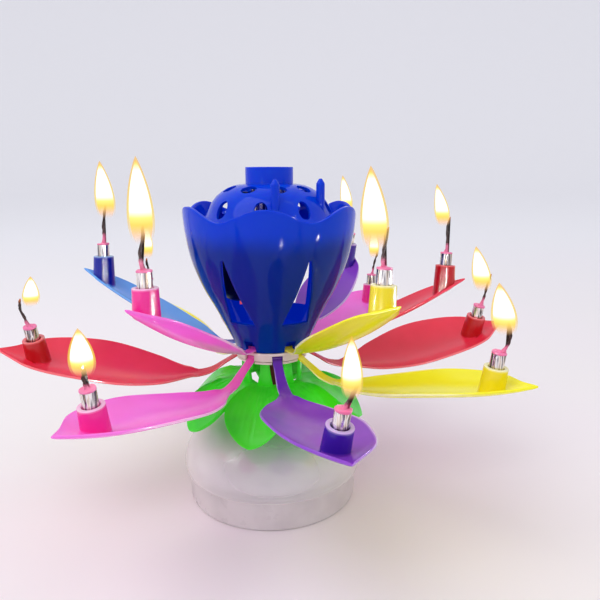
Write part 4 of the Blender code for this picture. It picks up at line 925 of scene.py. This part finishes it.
# Painted reflections: the creases pick their colours from the banded ramp.
silver.set(base_color=silver.ramp(creases, FOIL_PAINTED_REFLECTIONS), roughness=silver.cloud(700, 3) * 0.2 + 0.12,
           normal=silver.bump(creases, CREASE_DEPTH))
fountain = show("fountain_sleeve", turned(rounded([
    (0, fountain_low.z, 0), (fountain_radius, fountain_low.z, RIM_BEVEL),
    (fountain_radius, fountain_high.z, RIM_BEVEL),
    (fountain_radius - FOUNTAIN_WALL, fountain_high.z, RIM_BEVEL),
    (fountain_radius - FOUNTAIN_WALL, fountain_low.z + FOUNTAIN_FLOOR, 0),
    (0, fountain_low.z + FOUNTAIN_FLOOR, 0)]), SPINDLE_STEPS), silver)
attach(fountain, "flower")
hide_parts("fountain_tube")

# A dark round-ended capsule hangs by its neck under the pod, and shows as a black shape
# through the left window of the cup.
CAPSULE_CENTRE = (-0.0130, 0.0025)
CAPSULE_RADIUS = 0.0105
CAPSULE_NECK_RADIUS = 0.0035
CAPSULE_HEIGHT = 0.0245
BLACK_SHADE = paint(16, 17, 24)
BLACK_DEEP = paint(8, 8, 12)
CAPSULE_PROFILE_shares = ((0, 0), (0.3, 0.005), (0.57, 0.03), (0.78, 0.085), (0.92, 0.17), (0.99, 0.27),
                          (1, 0.38), (1, 0.75), (0.97, 0.85), (0.88, 0.93), (0.76, 0.96))
capsule_low, capsule_high = (end.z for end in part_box("sensor_capsule"))
capsule_outline = [(radius * CAPSULE_RADIUS, capsule_low + height * CAPSULE_HEIGHT)
                   for radius, height in CAPSULE_PROFILE_shares]
capsule_outline += [(CAPSULE_NECK_RADIUS, capsule_low + CAPSULE_HEIGHT), (CAPSULE_NECK_RADIUS, capsule_high),
                    (0, capsule_high)]
capsule_shape = turned(capsule_outline, SPINDLE_STEPS)
bmesh.ops.translate(capsule_shape, verts=capsule_shape.verts, vec=(*CAPSULE_CENTRE, 0))
capsule = show("hanging_capsule", capsule_shape,
               moulded("black_capsule_plastic", BLACK_SHADE, BLACK_DEEP, 0.3))
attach(capsule, "flower")
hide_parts("sensor_capsule")

# Each petal is one thin moulding: a hinge pin, a strap that flexes, a hollow leaf-shaped blade and
# a candle holder. Light glows through the blade. The thick holder and strap are painted a deeper
# colour as painted shade, for the light that does not pass through them, and the rims carry a
# painted highlight.
PETAL_THICKNESS = 0.0014
BLADE_THICKNESS = 0.0010
STRAP_BEND_START = 0.0048
STRAP_BEND_LENGTH = 0.0150
HOLDER_RADIUS = 0.0045
HOLDER_FOOT_RADIUS = 0.0048
HOLDER_BORE = 0.00295
HOLDER_ROOT = 0.0006
HOLDER_BAND = 3 * RIM_BEVEL
HOLDER_STEPS = 48
BORE_FLOOR = 0.0010
BLADE_TIP_HALF_WIDTH = 0.0004
BLADE_ROWS = 72
BLADE_COLUMNS = 20
RIM_STEPS = 4
SLOPE_STEP = 0.00001
TIP_SKIN_share = 0.7
# Painted highlight along the blade's edges: where it starts and how fast it comes in.
RIM_START_share = 0.96
RIM_FADE_share = 0.03
# Painted shade on the strap: how much of the deeper colour it gets.
STRAP_PAINTED_SHADE = 0.55
STRAP_FADE_START_share = 0.6
STRAP_FADE_share = 1.2
# Painted highlight on the holder's mouth, in bevel widths below its top.
HOLDER_HIGHLIGHT_BEVELS = 1.5
PETAL_FLOW_DEPTH = 0.000012
# How far the rims are painted towards their light tint, as a painted highlight.
RIM_HIGHLIGHT_STRENGTH = 0.7
BLADE_OUTLINE_shares = ((0, 0.16), (0.08, 0.32), (0.22, 0.70), (0.44, 1), (0.66, 0.95), (0.83, 0.70),
                        (0.93, 0.29), (1, 0.02))
# How each petal lies, in degrees: drooping at its hinge, turned sideways, and twisted.
LOWER_LIES = {
    "red_left": (0, 0, -11),
    "pink_front": (-2, 2, 0),
    "purple_front": (-3, 2, -7),
    "yellow_right": (-1, 0, -1),
    "red_right": (-1, 1, 12),
    "pink_back": (1, 0, 0),
    "purple_back": (0, 0, 0),
    "yellow_back": (2, -10, 14),
}
UPPER_LIES = {
    "blue_left": (-2.7, -10, 5),
    "pink_front": (-1.7, -0.5, 2),
    "yellow_front": (-1.3, 1, -5),
    "red_right": (-6.4, 6, -6),
    "purple_back": (-4, 0, 12),
    "red_back": (-5, -9, 0),
}
# Per colour: the blade's colour, a deeper colour painted on the thick holder and strap as painted shade, and
# a light tint painted along the rims as a painted highlight.
PETAL_SHADES = {
    "red": (paint(244, 54, 84), paint(196, 18, 26), paint(250, 128, 132)),
    "pink": (paint(255, 124, 226), paint(252, 44, 156), paint(255, 222, 244)),
    "purple": (paint(146, 68, 200), paint(58, 18, 158), paint(236, 206, 246)),
    "yellow": (paint(255, 250, 34), paint(250, 226, 26), paint(255, 252, 220)),
    "blue": (paint(108, 172, 246), paint(14, 30, 160), paint(186, 214, 250)),
}


class Tier:
    """Sizes that all petals of one tier share, with the centre line that they follow."""

    def __init__(self, line_shares, reach, rise, half_width, edge_rise, blade_start, holder_place,
                 holder_height, holder_tilt, pin_level, first, count):
        self.line = [(x * reach, z * rise) for x, z in line_shares]
        self.reach = reach
        self.half_width = half_width
        self.edge_rise = edge_rise
        self.blade_start = blade_start
        self.holder_place = holder_place
        self.holder_height = holder_height
        self.holder_tilt = holder_tilt
        self.pin_level = pin_level
        self.first = first
        self.step = math.tau / count

    def half_width_at(self, place):
        """Half width of the petal at a distance from its hinge."""
        share = (place - self.blade_start) / (self.reach - self.blade_start)
        if share <= 0:
            root = max(self.half_width * BLADE_OUTLINE_shares[0][1], STRAP_WIDTH / 2)
            grown = ease((place - STRAP_BEND_START) / (self.blade_start - STRAP_BEND_START))
            return STRAP_WIDTH / 2 + (root - STRAP_WIDTH / 2) * grown
        return max(self.half_width * between(BLADE_OUTLINE_shares, share), BLADE_TIP_HALF_WIDTH)

    def frame_at(self, place, lean, twist):
        """Point on the centre line, with the way along, across and up, after the strap's bend."""
        bend = ease((place - STRAP_BEND_START) / STRAP_BEND_LENGTH)
        height = between(self.line, place) if place > 0 else 0
        rise = (between(self.line, place + SLOPE_STEP) - height) / SLOPE_STEP if place > 0 else 0
        along = Vector((1, 0, rise)).normalized()
        across = Vector((0, 1, 0))
        up = along.cross(across)
        roll = Matrix.Rotation(twist * bend, 3, along)
        yaw = Matrix.Rotation(lean * bend, 3, "Z")
        return yaw @ Vector((place, 0, height)), yaw @ along, yaw @ roll @ across, yaw @ roll @ up

    def holder_frame(self, lean, twist):
        """Place of the candle holder: its foot on the blade, with Z up its bore."""
        centre, along, across, up = self.frame_at(self.holder_place, lean, twist)
        level = Vector((along.x, along.y, 0)).normalized()
        upright = across.cross(level) * -1
        bore = (upright * math.cos(self.holder_tilt) + level * math.sin(self.holder_tilt)).normalized()
        turn = Vector((0, 0, 1)).rotation_difference(bore).to_matrix().to_4x4()
        return Matrix.Translation(centre + up * PETAL_THICKNESS / 2) @ turn

    def petal_frame(self, index, droop):
        """Place of a petal, with its hinge at the origin and +X pointing out."""
        azimuth = self.first + index * self.step
        hinge = HINGE_RADIUS * heading(azimuth) + Vector((0, 0, self.pin_level))
        return Matrix.Translation(hinge) @ turn_to(azimuth) @ Matrix.Rotation(-droop, 4, "Y")


TIERS = {
    "lower": Tier(((0, 0), (0.078, -0.49), (0.131, -0.83), (0.19, -0.97), (0.33, -1), (0.48, -0.76),
                   (0.64, -0.33), (0.82, 0.15), (0.93, 0.52), (1, 0.84)),
                  reach=0.1030, rise=0.0092, half_width=0.0180, edge_rise=0.0045,
                  blade_start=0.0190, holder_place=0.0870, holder_height=0.0095,
                  holder_tilt=math.radians(6), pin_level=0.0688, first=LOWER_AZIMUTH, count=LOWER_COUNT),
    "upper": Tier(((0, 0), (0.05, 0), (0.11, 0.009), (0.22, 0.088), (0.40, 0.234), (0.63, 0.488),
                   (0.85, 0.786), (1, 1)),
                  reach=0.0730, rise=0.0354, half_width=0.0130, edge_rise=0.0030, blade_start=0.0090,
                  holder_place=0.0640, holder_height=0.0113, holder_tilt=math.radians(-3), pin_level=0.0729,
                  first=UPPER_AZIMUTH, count=UPPER_COUNT),
}


def rim_section():
    """Points round a flat section: share of the half width, then bulge and level in half thicknesses."""
    arc = [math.pi * step / (RIM_STEPS + 1) for step in range(1, RIM_STEPS + 1)]
    top = [(math.sin(math.pi * (column / BLADE_COLUMNS - 0.5)), 0, 1) for column in range(BLADE_COLUMNS + 1)]
    right = [(1, math.sin(angle), math.cos(angle)) for angle in arc]
    below = [(-share, 0, -1) for share, _, _ in top]
    left = [(-1, -math.sin(angle), -math.cos(angle)) for angle in arc]
    return top + right + below + left + top[:1]


def petal_blade(tier, lean, twist):
    """Strap and hollow blade with a rounded rim all round, the hinge at the origin."""
    section = rim_section()
    shape = bmesh.new()
    bmesh.ops.create_grid(shape, x_segments=BLADE_ROWS, y_segments=len(section) - 1, size=0.5)
    for corner in shape.verts:
        place = -STRAP_TAIL + (tier.reach + STRAP_TAIL) * (corner.co.x + 0.5)
        side, bulge, level = section[round((corner.co.y + 0.5) * (len(section) - 1))]
        centre, _, across, up = tier.frame_at(place, lean, twist)
        half = tier.half_width_at(place)
        hollow = tier.edge_rise * half / tier.half_width * ease((place - tier.blade_start) / STRAP_WIDTH)
        skin = min(BLADE_THICKNESS / 2, half * TIP_SKIN_share)
        corner.co = (centre + across * ((half - skin) * side + bulge * skin)
                     + up * (hollow * side * side + level * skin))
    bmesh.ops.remove_doubles(shape, verts=shape.verts, dist=MERGE_DISTANCE)
    bmesh.ops.holes_fill(shape, edges=[edge for edge in shape.edges if edge.is_boundary], sides=0)
    return shape


def petal_plastic(name, shade, deep, rim_highlight):
    """Thin glowing plastic with painted shade where the moulding is thick and a painted highlight on its
    rims.
    """
    finish = Finish(name, subsurface_weight=0.3, subsurface_radius=shade[:3],
                    subsurface_scale=GLOW_DEPTH, specular_ior_level=0.5)
    # Painted shade: the thick holder and strap are mixed towards the deeper colour.
    thick = finish.mark("thickness")
    drift = finish.steps(finish.cloud(45, 3), 0.3, 0.75) * 0.18
    body = finish.mix(thick + drift, shade, deep)
    # Painted highlight: the rims are mixed towards the light tint.
    finish.set(base_color=finish.mix(finish.mark("rim") * RIM_HIGHLIGHT_STRENGTH, body, rim_highlight),
               roughness=finish.cloud(130, 4) * 0.14 + 0.14)
    flow = finish.bump(finish.cloud(380, 2), PETAL_FLOW_DEPTH)
    finish.set(normal=finish.bump(finish.cloud(2600, 2), GRAIN_DEPTH, flow))
    return finish


plastics = {}
for colour, shades in PETAL_SHADES.items():
    plastics[colour] = petal_plastic(colour + "_petal_plastic", *shades)
lies = {"lower": LOWER_LIES, "upper": UPPER_LIES}
candle_frames = {}
for label, tier in TIERS.items():
    for index, (place, (droop, lean, twist)) in enumerate(lies[label].items()):
        colour = place.split("_")[0]
        droop, lean, twist = math.radians(droop), math.radians(lean), math.radians(twist)
        petal = show(f"{label}_blade_{place}", petal_blade(tier, lean, twist), plastics[colour])
        pin = bmesh.new()
        bmesh.ops.create_cone(pin, cap_ends=True, segments=POD_HOLE_STEPS, radius1=PIN_RADIUS,
                              radius2=PIN_RADIUS, depth=2 * PIN_HALF_LENGTH,
                              matrix=Matrix.Rotation(math.pi / 2, 4, "X"))
        combine(petal, show("pin", pin))
        holder = tier.holder_frame(lean, twist)
        slant = holder.inverted().to_3x3() @ tier.frame_at(tier.holder_place, lean, twist)[3]
        mouth = tier.holder_height
        tube = turned(rounded([
            (0, -HOLDER_ROOT, 0), (HOLDER_FOOT_RADIUS, -HOLDER_ROOT, 0), (HOLDER_FOOT_RADIUS, BORE_FLOOR, 0),
            (HOLDER_RADIUS, mouth - HOLDER_BAND, 0), (HOLDER_RADIUS, mouth, RIM_BEVEL),
            (0, mouth, 0)]), HOLDER_STEPS)
        for corner in tube.verts:
            if corner.co.z < BORE_FLOOR + MERGE_DISTANCE:
                corner.co.z -= (slant.x * corner.co.x + slant.y * corner.co.y) / slant.z
        bmesh.ops.transform(tube, verts=tube.verts, matrix=holder)
        combine(petal, show("tube", tube))
        bore = turned([
            (0, BORE_FLOOR), (HOLDER_BORE, BORE_FLOOR), (HOLDER_BORE, mouth - RIM_BEVEL),
            (HOLDER_BORE + RIM_BEVEL, mouth), (HOLDER_BORE + RIM_BEVEL, mouth + CUT_OVERRUN),
            (0, mouth + CUT_OVERRUN)], HOLDER_STEPS)
        bmesh.ops.transform(bore, verts=bore.verts, matrix=holder)
        combine(petal, show("bore", bore), "DIFFERENCE")
        thickness = petal.data.attributes.new("thickness", "FLOAT", "POINT")
        rim = petal.data.attributes.new("rim", "FLOAT", "POINT")
        back = holder.inverted()
        for point in petal.data.vertices:
            near = back @ point.co
            flat = Matrix.Rotation(-lean, 4, "Z") @ point.co
            # Painted shade mask: full in the holder, fading out along the strap.
            fade_start = tier.blade_start * STRAP_FADE_START_share
            strap = 1 - ease((flat.x - fade_start) / (tier.blade_start * STRAP_FADE_share))
            strap *= STRAP_PAINTED_SHADE
            # Painted highlight mask: the blade's edges, then the top of the holder's mouth.
            edge_highlight = ease((abs(flat.y) / tier.half_width_at(flat.x) - RIM_START_share) / RIM_FADE_share)
            above_blade = near.z + (slant.x * near.x + slant.y * near.y) / slant.z
            in_holder = near.xy.length < HOLDER_FOOT_RADIUS + RIM_BEVEL and above_blade > RIM_BEVEL
            if in_holder:
                strap = 1
                edge_highlight = ease((near.z - mouth) / RIM_BEVEL + HOLDER_HIGHLIGHT_BEVELS)
            thickness.data[point.index].value = strap
            rim.data[point.index].value = edge_highlight * (1 - ease(1 - flat.x / tier.blade_start))
        whole = tier.petal_frame(index, droop)
        petal.data.transform(whole)
        candle_frames[label, place] = whole @ holder
        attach(petal, f"{label}_{place}")
        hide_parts(f"{label}_petal_{place}")

# Each small candle is pink wax in a silver foil sleeve, melted to a thin lip round its wick.
# The wick is a twisted cotton cord, waxed pink below, burnt black, and browned at its curled end.
WAX_RADIUS = 0.00205
FOIL_THICKNESS = 0.0003
FOIL_RISE = 0.0052
FOIL_STEPS = 48
FOIL_ROWS = 8
LIP_OVERHANG = 0.0001
LIP_THICKNESS = 0.0007
WAX_CONE_RADIUS = 0.0005
WAX_CONE_HEIGHT = 0.0007
WICK_RADIUS = 0.00055
WICK_SINK = 0.0020
WICK_SIDES = 12
WICK_ROWS = 36
WICK_ROUGHNESS = 0.5
WICK_TWIST = 26
WICK_TWIST_DEPTH = 0.15
WICK_TAPER = 0.15
WICK_ROOT_share = 0.32
WICK_ROOT_SPREAD = 0.9
WICK_END_share = 0.93
WICK_END_TAPER = 0.6
CRINKLE_SCALE = 900
CRINKLE_DEPTH = 0.00006
LUMP_SCALE = 500
LUMP_SPREAD = 0.06
LUMP_HEIGHT = 0.0002
LIP_TILT = 0.12
LIP_LIFT = MERGE_DISTANCE * 4
MELT_START = MERGE_DISTANCE * 6
WAX_SHADES = (paint(252, 138, 182), paint(244, 108, 160))
WAX_GLOW = (1, 0.35, 0.4)
WAX_GLOW_DEPTH = 0.002
WAX_BUMP_DEPTH = 0.00006
WICK_BUMP_DEPTH = 0.0001
WICK_DRIFT = 0.12
WICK_SHADES = (
    (0, paint(244, 130, 176)), (0.27, paint(224, 110, 150)), (0.36, paint(60, 16, 18)),
    (0.80, paint(22, 14, 12)), (0.90, paint(96, 46, 20)), (1, paint(206, 110, 44)))
FLAME_SHADES = (
    (0, paint(190, 140, 110)), (0.18, paint(190, 146, 100)), (0.28, paint(186, 160, 70)),
    (0.36, paint(200, 190, 110)), (0.44, paint(255, 255, 250)), (0.88, paint(255, 255, 250)),
    (0.96, paint(200, 186, 110)), (1, paint(180, 140, 60)))
HALO_SHADES = ((0, paint(255, 196, 150)), (0.4, paint(255, 222, 96)), (1, paint(255, 198, 84)))
FLAME_SOLIDITY = 0.98
HALO_SOLIDITY = 0.5
FLAME_SIDES = 24
FLAME_ROWS = 28
FLAME_TIP_POWER = 0.9
FLAME_FOOT_POWER = 0.5
FLAME_WIDEST = 0.4017
FLAME_LEAN_POWER = 1.5
FLAME_POWER = 2.4
HALO_SCALE = 1.2
GLINT_SIZE = (0.0018, 0.010)
GLINT_POWER = 0.09
GLINTS = ("upper_pink_front", "upper_yellow_front", "lower_purple_front", "lower_pink_front",
          "lower_yellow_right")
# Above each candle, to the right and up: the wick's middle, its tip and its height,
# then the flame's foot, bottom, width, top and tip. One candle is out.
WICKS_AND_FLAMES = {
    ("lower", "red_left"): ((-0.0020, -0.0031, 0.0118), (0.0016, 0.0075, 0.0068, 0.0212, 0.0024)),
    ("lower", "pink_front"): ((-0.0006, -0.0014, 0.0085), (-0.0008, 0.0030, 0.0082, 0.0197, -0.0014)),
    ("lower", "purple_front"): ((0.0020, 0.0051, 0.0088), (0.0024, 0.0012, 0.0066, 0.0222, 0.0020)),
    ("lower", "yellow_right"): ((0.0034, 0.0024, 0.0122), (0.0016, 0.0048, 0.0092, 0.0258, -0.0020)),
    ("lower", "red_right"): ((0.0026, 0.0044, 0.0153), (0.0012, 0.0050, 0.0090, 0.0290, -0.0036)),
    ("lower", "pink_back"): ((0.0015, 0.0030, 0.0149), (0.0012, 0.0080, 0.0060, 0.0280, 0.0006)),
    ("lower", "purple_back"): ((0.0008, 0.0016, 0.0100), (0.0009, 0.0055, 0.0072, 0.0245, -0.0003)),
    ("lower", "yellow_back"): ((0.0002, -0.0004, 0.0112), (0.0002, 0.0092, 0.0066, 0.0308, 0.0004)),
    ("upper", "blue_left"): ((0.0010, 0.0015, 0.0175), (0.0026, 0.0090, 0.0089, 0.0372, 0.0010)),
    ("upper", "pink_front"): ((-0.0008, 0.0006, 0.0150), (0.0002, 0.0060, 0.0088, 0.0372, -0.0006)),
    ("upper", "yellow_front"): ((-0.0007, 0.0013, 0.0136), (-0.0034, 0.0034, 0.0096, 0.0336, -0.0056)),
    ("upper", "red_right"): ((0.0000, 0.0006, 0.0162), (-0.0020, 0.0102, 0.0067, 0.0310, -0.0060)),
    ("upper", "purple_back"): ((0.0004, 0.0010, 0.0120), (-0.0020, 0.0085, 0.0066, 0.0313, -0.0050)),
    ("upper", "red_back"): ((0.0006, 0.0014, 0.0118), None),
}

wax = Finish("pink_wax", subsurface_weight=0.6, subsurface_radius=WAX_GLOW, subsurface_scale=WAX_GLOW_DEPTH)
wax.set(base_color=wax.mix(wax.cloud(500, 3), *WAX_SHADES),
        roughness=wax.cloud(400, 3) * 0.2 + 0.3, normal=wax.bump(wax.cloud(700, 3), WAX_BUMP_DEPTH))
cotton = Finish("burnt_wick")
burnt = cotton.mark("height") + cotton.cloud(1500, 3) * WICK_DRIFT - WICK_DRIFT / 2
cotton.set(base_color=cotton.ramp(burnt, WICK_SHADES), roughness=cotton.cloud(1200, 2) * 0.3 + 0.6,
           normal=cotton.bump(cotton.cloud(2500, 3), WICK_BUMP_DEPTH))


def flame_height(finish):
    """Share of the flame's height."""
    level = finish.node("SeparateXYZ", {}, {"Vector": finish.place()}, "Z") - finish.mark("foot_level")
    return level.maths("DIVIDE", level, finish.mark("span"))


fire = Finish("flame_body", base_color=BLACK, roughness=1, specular_ior_level=0,
              emission_strength=FLAME_POWER)
fire_height = flame_height(fire)
fire.set(emission_color=fire.ramp(fire_height, FLAME_SHADES),
         alpha=fire.steps(fire_height, 0.03, 0.36) * FLAME_SOLIDITY)
halo = Finish("flame_halo", base_color=BLACK, roughness=1, specular_ior_level=0, emission_strength=1)
halo_height = flame_height(halo)
halo.set(emission_color=halo.ramp(halo_height, HALO_SHADES),
         alpha=halo.steps(halo_height, 0.08, 0.42) * HALO_SOLIDITY)


def wick_shape(root, middle, tip, length, seed):
    """Twisted cord that starts in the wax and bends sideways through its middle to its tip."""
    shape = bmesh.new()
    bmesh.ops.create_grid(shape, x_segments=WICK_SIDES, y_segments=WICK_ROWS, size=0.5)
    heights = []
    bow = 2 * tip - 4 * middle
    for corner in shape.verts:
        share = corner.co.y + 0.5
        angle = (corner.co.x + 0.5) * math.tau
        rough = noise.noise(Vector((math.cos(angle), math.sin(angle), share * 9)) + Vector((seed, 0, 0)))
        strands = WICK_TWIST_DEPTH * math.sin(2 * angle + share * WICK_TWIST)
        radius = WICK_RADIUS * (1 + WICK_ROUGHNESS * rough + strands) * (1.1 - WICK_TAPER * share)
        radius *= 1 - ease((share - WICK_END_share) / (1 - WICK_END_share)) * WICK_END_TAPER
        radius *= 1 + WICK_ROOT_SPREAD * ease(1 - share / WICK_ROOT_share)
        side = (tip - bow) * share + bow * share ** 2 + WICK_RADIUS * math.sin(share * 7 + seed) * share
        sway = Vector((side, WICK_RADIUS * math.cos(share * 5 + seed) * share,
                       (length + WICK_SINK) * share - WICK_SINK))
        corner.co = root + sway + Vector((math.cos(angle) * radius, math.sin(angle) * radius, 0))
        heights.append(share)
    bmesh.ops.holes_fill(shape, edges=[edge for edge in shape.edges if edge.is_boundary], sides=0)
    return shape, heights


def flame_shape(width, height, lean, base):
    """Teardrop flame: round below, widest a third of the way up, and pointed at its tip."""
    shape = bmesh.new()
    bmesh.ops.create_uvsphere(shape, u_segments=FLAME_SIDES, v_segments=FLAME_ROWS, radius=0.5)
    for corner in shape.verts:
        share = math.acos(max(min(-2 * corner.co.z, 1), -1)) / math.pi
        level = corner.co.xy.length
        swell = 0
        if 0 < share < 1:
            swell = (1 - share) ** FLAME_TIP_POWER * share ** FLAME_FOOT_POWER / FLAME_WIDEST
        way = corner.co.xy / level if level > MERGE_DISTANCE else Vector((0, 0))
        out = swell * width / 2
        shift = lean * share ** FLAME_LEAN_POWER
        corner.co = base + Vector((way.x * out + shift, way.y * out, height * share))
    return shape


def store(piece, name, values):
    """Keeps a number at each point, for the finish to read."""
    piece.data.attributes.new(name, "FLOAT", "POINT").data.foreach_set("value", values)


for number, ((label, place), (wick_sizes, flame_sizes)) in enumerate(WICKS_AND_FLAMES.items()):
    tier = TIERS[label]
    stand = candle_frames[label, place]
    body = f"{label}_{place}"
    foot = BORE_FLOOR + SLIDE_GAP
    brim = tier.holder_height + FOIL_RISE
    dice = random.Random(number)

    foil_inside = WAX_RADIUS + SLIDE_GAP
    foil_outside = foil_inside + FOIL_THICKNESS
    foil = turned([(foil_inside, foot), (foil_outside, foot), (foil_outside, brim), (foil_inside, brim)],
                  FOIL_STEPS)
    tall = [edge for edge in foil.edges if abs(edge.verts[0].co.z - edge.verts[1].co.z) > foot]
    bmesh.ops.subdivide_edges(foil, edges=tall, cuts=FOIL_ROWS, use_grid_fill=True)
    for corner in foil.verts:
        crinkle = noise.noise(corner.co * CRINKLE_SCALE + Vector((number * 7, 0, 0))) * CRINKLE_DEPTH
        corner.co.xy *= 1 + crinkle / WAX_RADIUS
    bmesh.ops.transform(foil, verts=foil.verts, matrix=stand)
    sleeve = show(f"{label}_sleeve_{place}", foil, silver)
    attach(sleeve, body)
    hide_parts(f"{label}_foil_{place}")

    lip = foil_outside + LIP_OVERHANG
    lip_bottom = brim + LIP_LIFT
    lip_top = brim + LIP_THICKNESS
    cone_top = lip_top + WAX_CONE_HEIGHT
    candle = turned(rounded([
        (0, foot, 0), (WAX_RADIUS, foot, 0), (WAX_RADIUS, lip_bottom, 0), (lip, lip_bottom, RIM_BEVEL / 2),
        (lip, lip_top, RIM_BEVEL), (WAX_CONE_RADIUS * 2, lip_top, RIM_BEVEL),
        (WAX_CONE_RADIUS, cone_top, RIM_BEVEL), (0, cone_top, 0)]), FOIL_STEPS)
    tilt = dice.uniform(-LIP_TILT, LIP_TILT)
    for corner in candle.verts:
        if corner.co.z > brim + MELT_START:
            lump = noise.noise(corner.co * LUMP_SCALE + Vector((0, number * 5, 0)))
            corner.co.xy *= 1 + LUMP_SPREAD * lump
            lift = corner.co.x * tilt + abs(lump) * LUMP_HEIGHT
            corner.co.z += lift * ease((corner.co.z - brim) / LIP_THICKNESS)
    bmesh.ops.transform(candle, verts=candle.verts, matrix=stand)
    stick = show(f"{label}_stick_{place}", candle, wax)
    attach(stick, body)
    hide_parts(f"{label}_candle_{place}")

    root = stand @ Vector((0, 0, lip_top))
    shape, heights = wick_shape(root, *wick_sizes, number * 1.7)
    wick = show(f"{label}_wick_{place}", shape, cotton)
    store(wick, "height", heights)
    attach(wick, body)
    if not flame_sizes:
        continue

    flame_foot, flame_bottom, flame_width, flame_top, flame_tip = flame_sizes
    hearth = root + Vector((flame_foot, 0, flame_bottom))
    for name, finish, scale in (("flame", fire, 1 / HALO_SCALE), ("halo", halo, 1)):
        height = (flame_top - flame_bottom) * (1 + scale) / 2
        raised = Vector((0, 0, (flame_top - flame_bottom - height) / 2))
        base = hearth + raised
        shape = flame_shape(flame_width * scale, height, flame_tip - flame_foot, base)
        glow = show(f"{label}_{name}_{place}", shape, finish)
        store(glow, "foot_level", [base.z] * len(glow.data.vertices))
        store(glow, "span", [height] * len(glow.data.vertices))
        glow.visible_shadow = False
        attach(glow, body)
        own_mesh(glow)
    if body in GLINTS:
        middle = hearth + Vector(((flame_tip - flame_foot) / 3, 0, (flame_top - flame_bottom) / 2))
        glint = hang_lamp(f"{body}_glint", GLINT_SIZE, GLINT_POWER, middle, (0, 0, middle.z))
        glint.data.shape = "ELLIPSE"
        glint.visible_camera = False
        glint.visible_diffuse = False
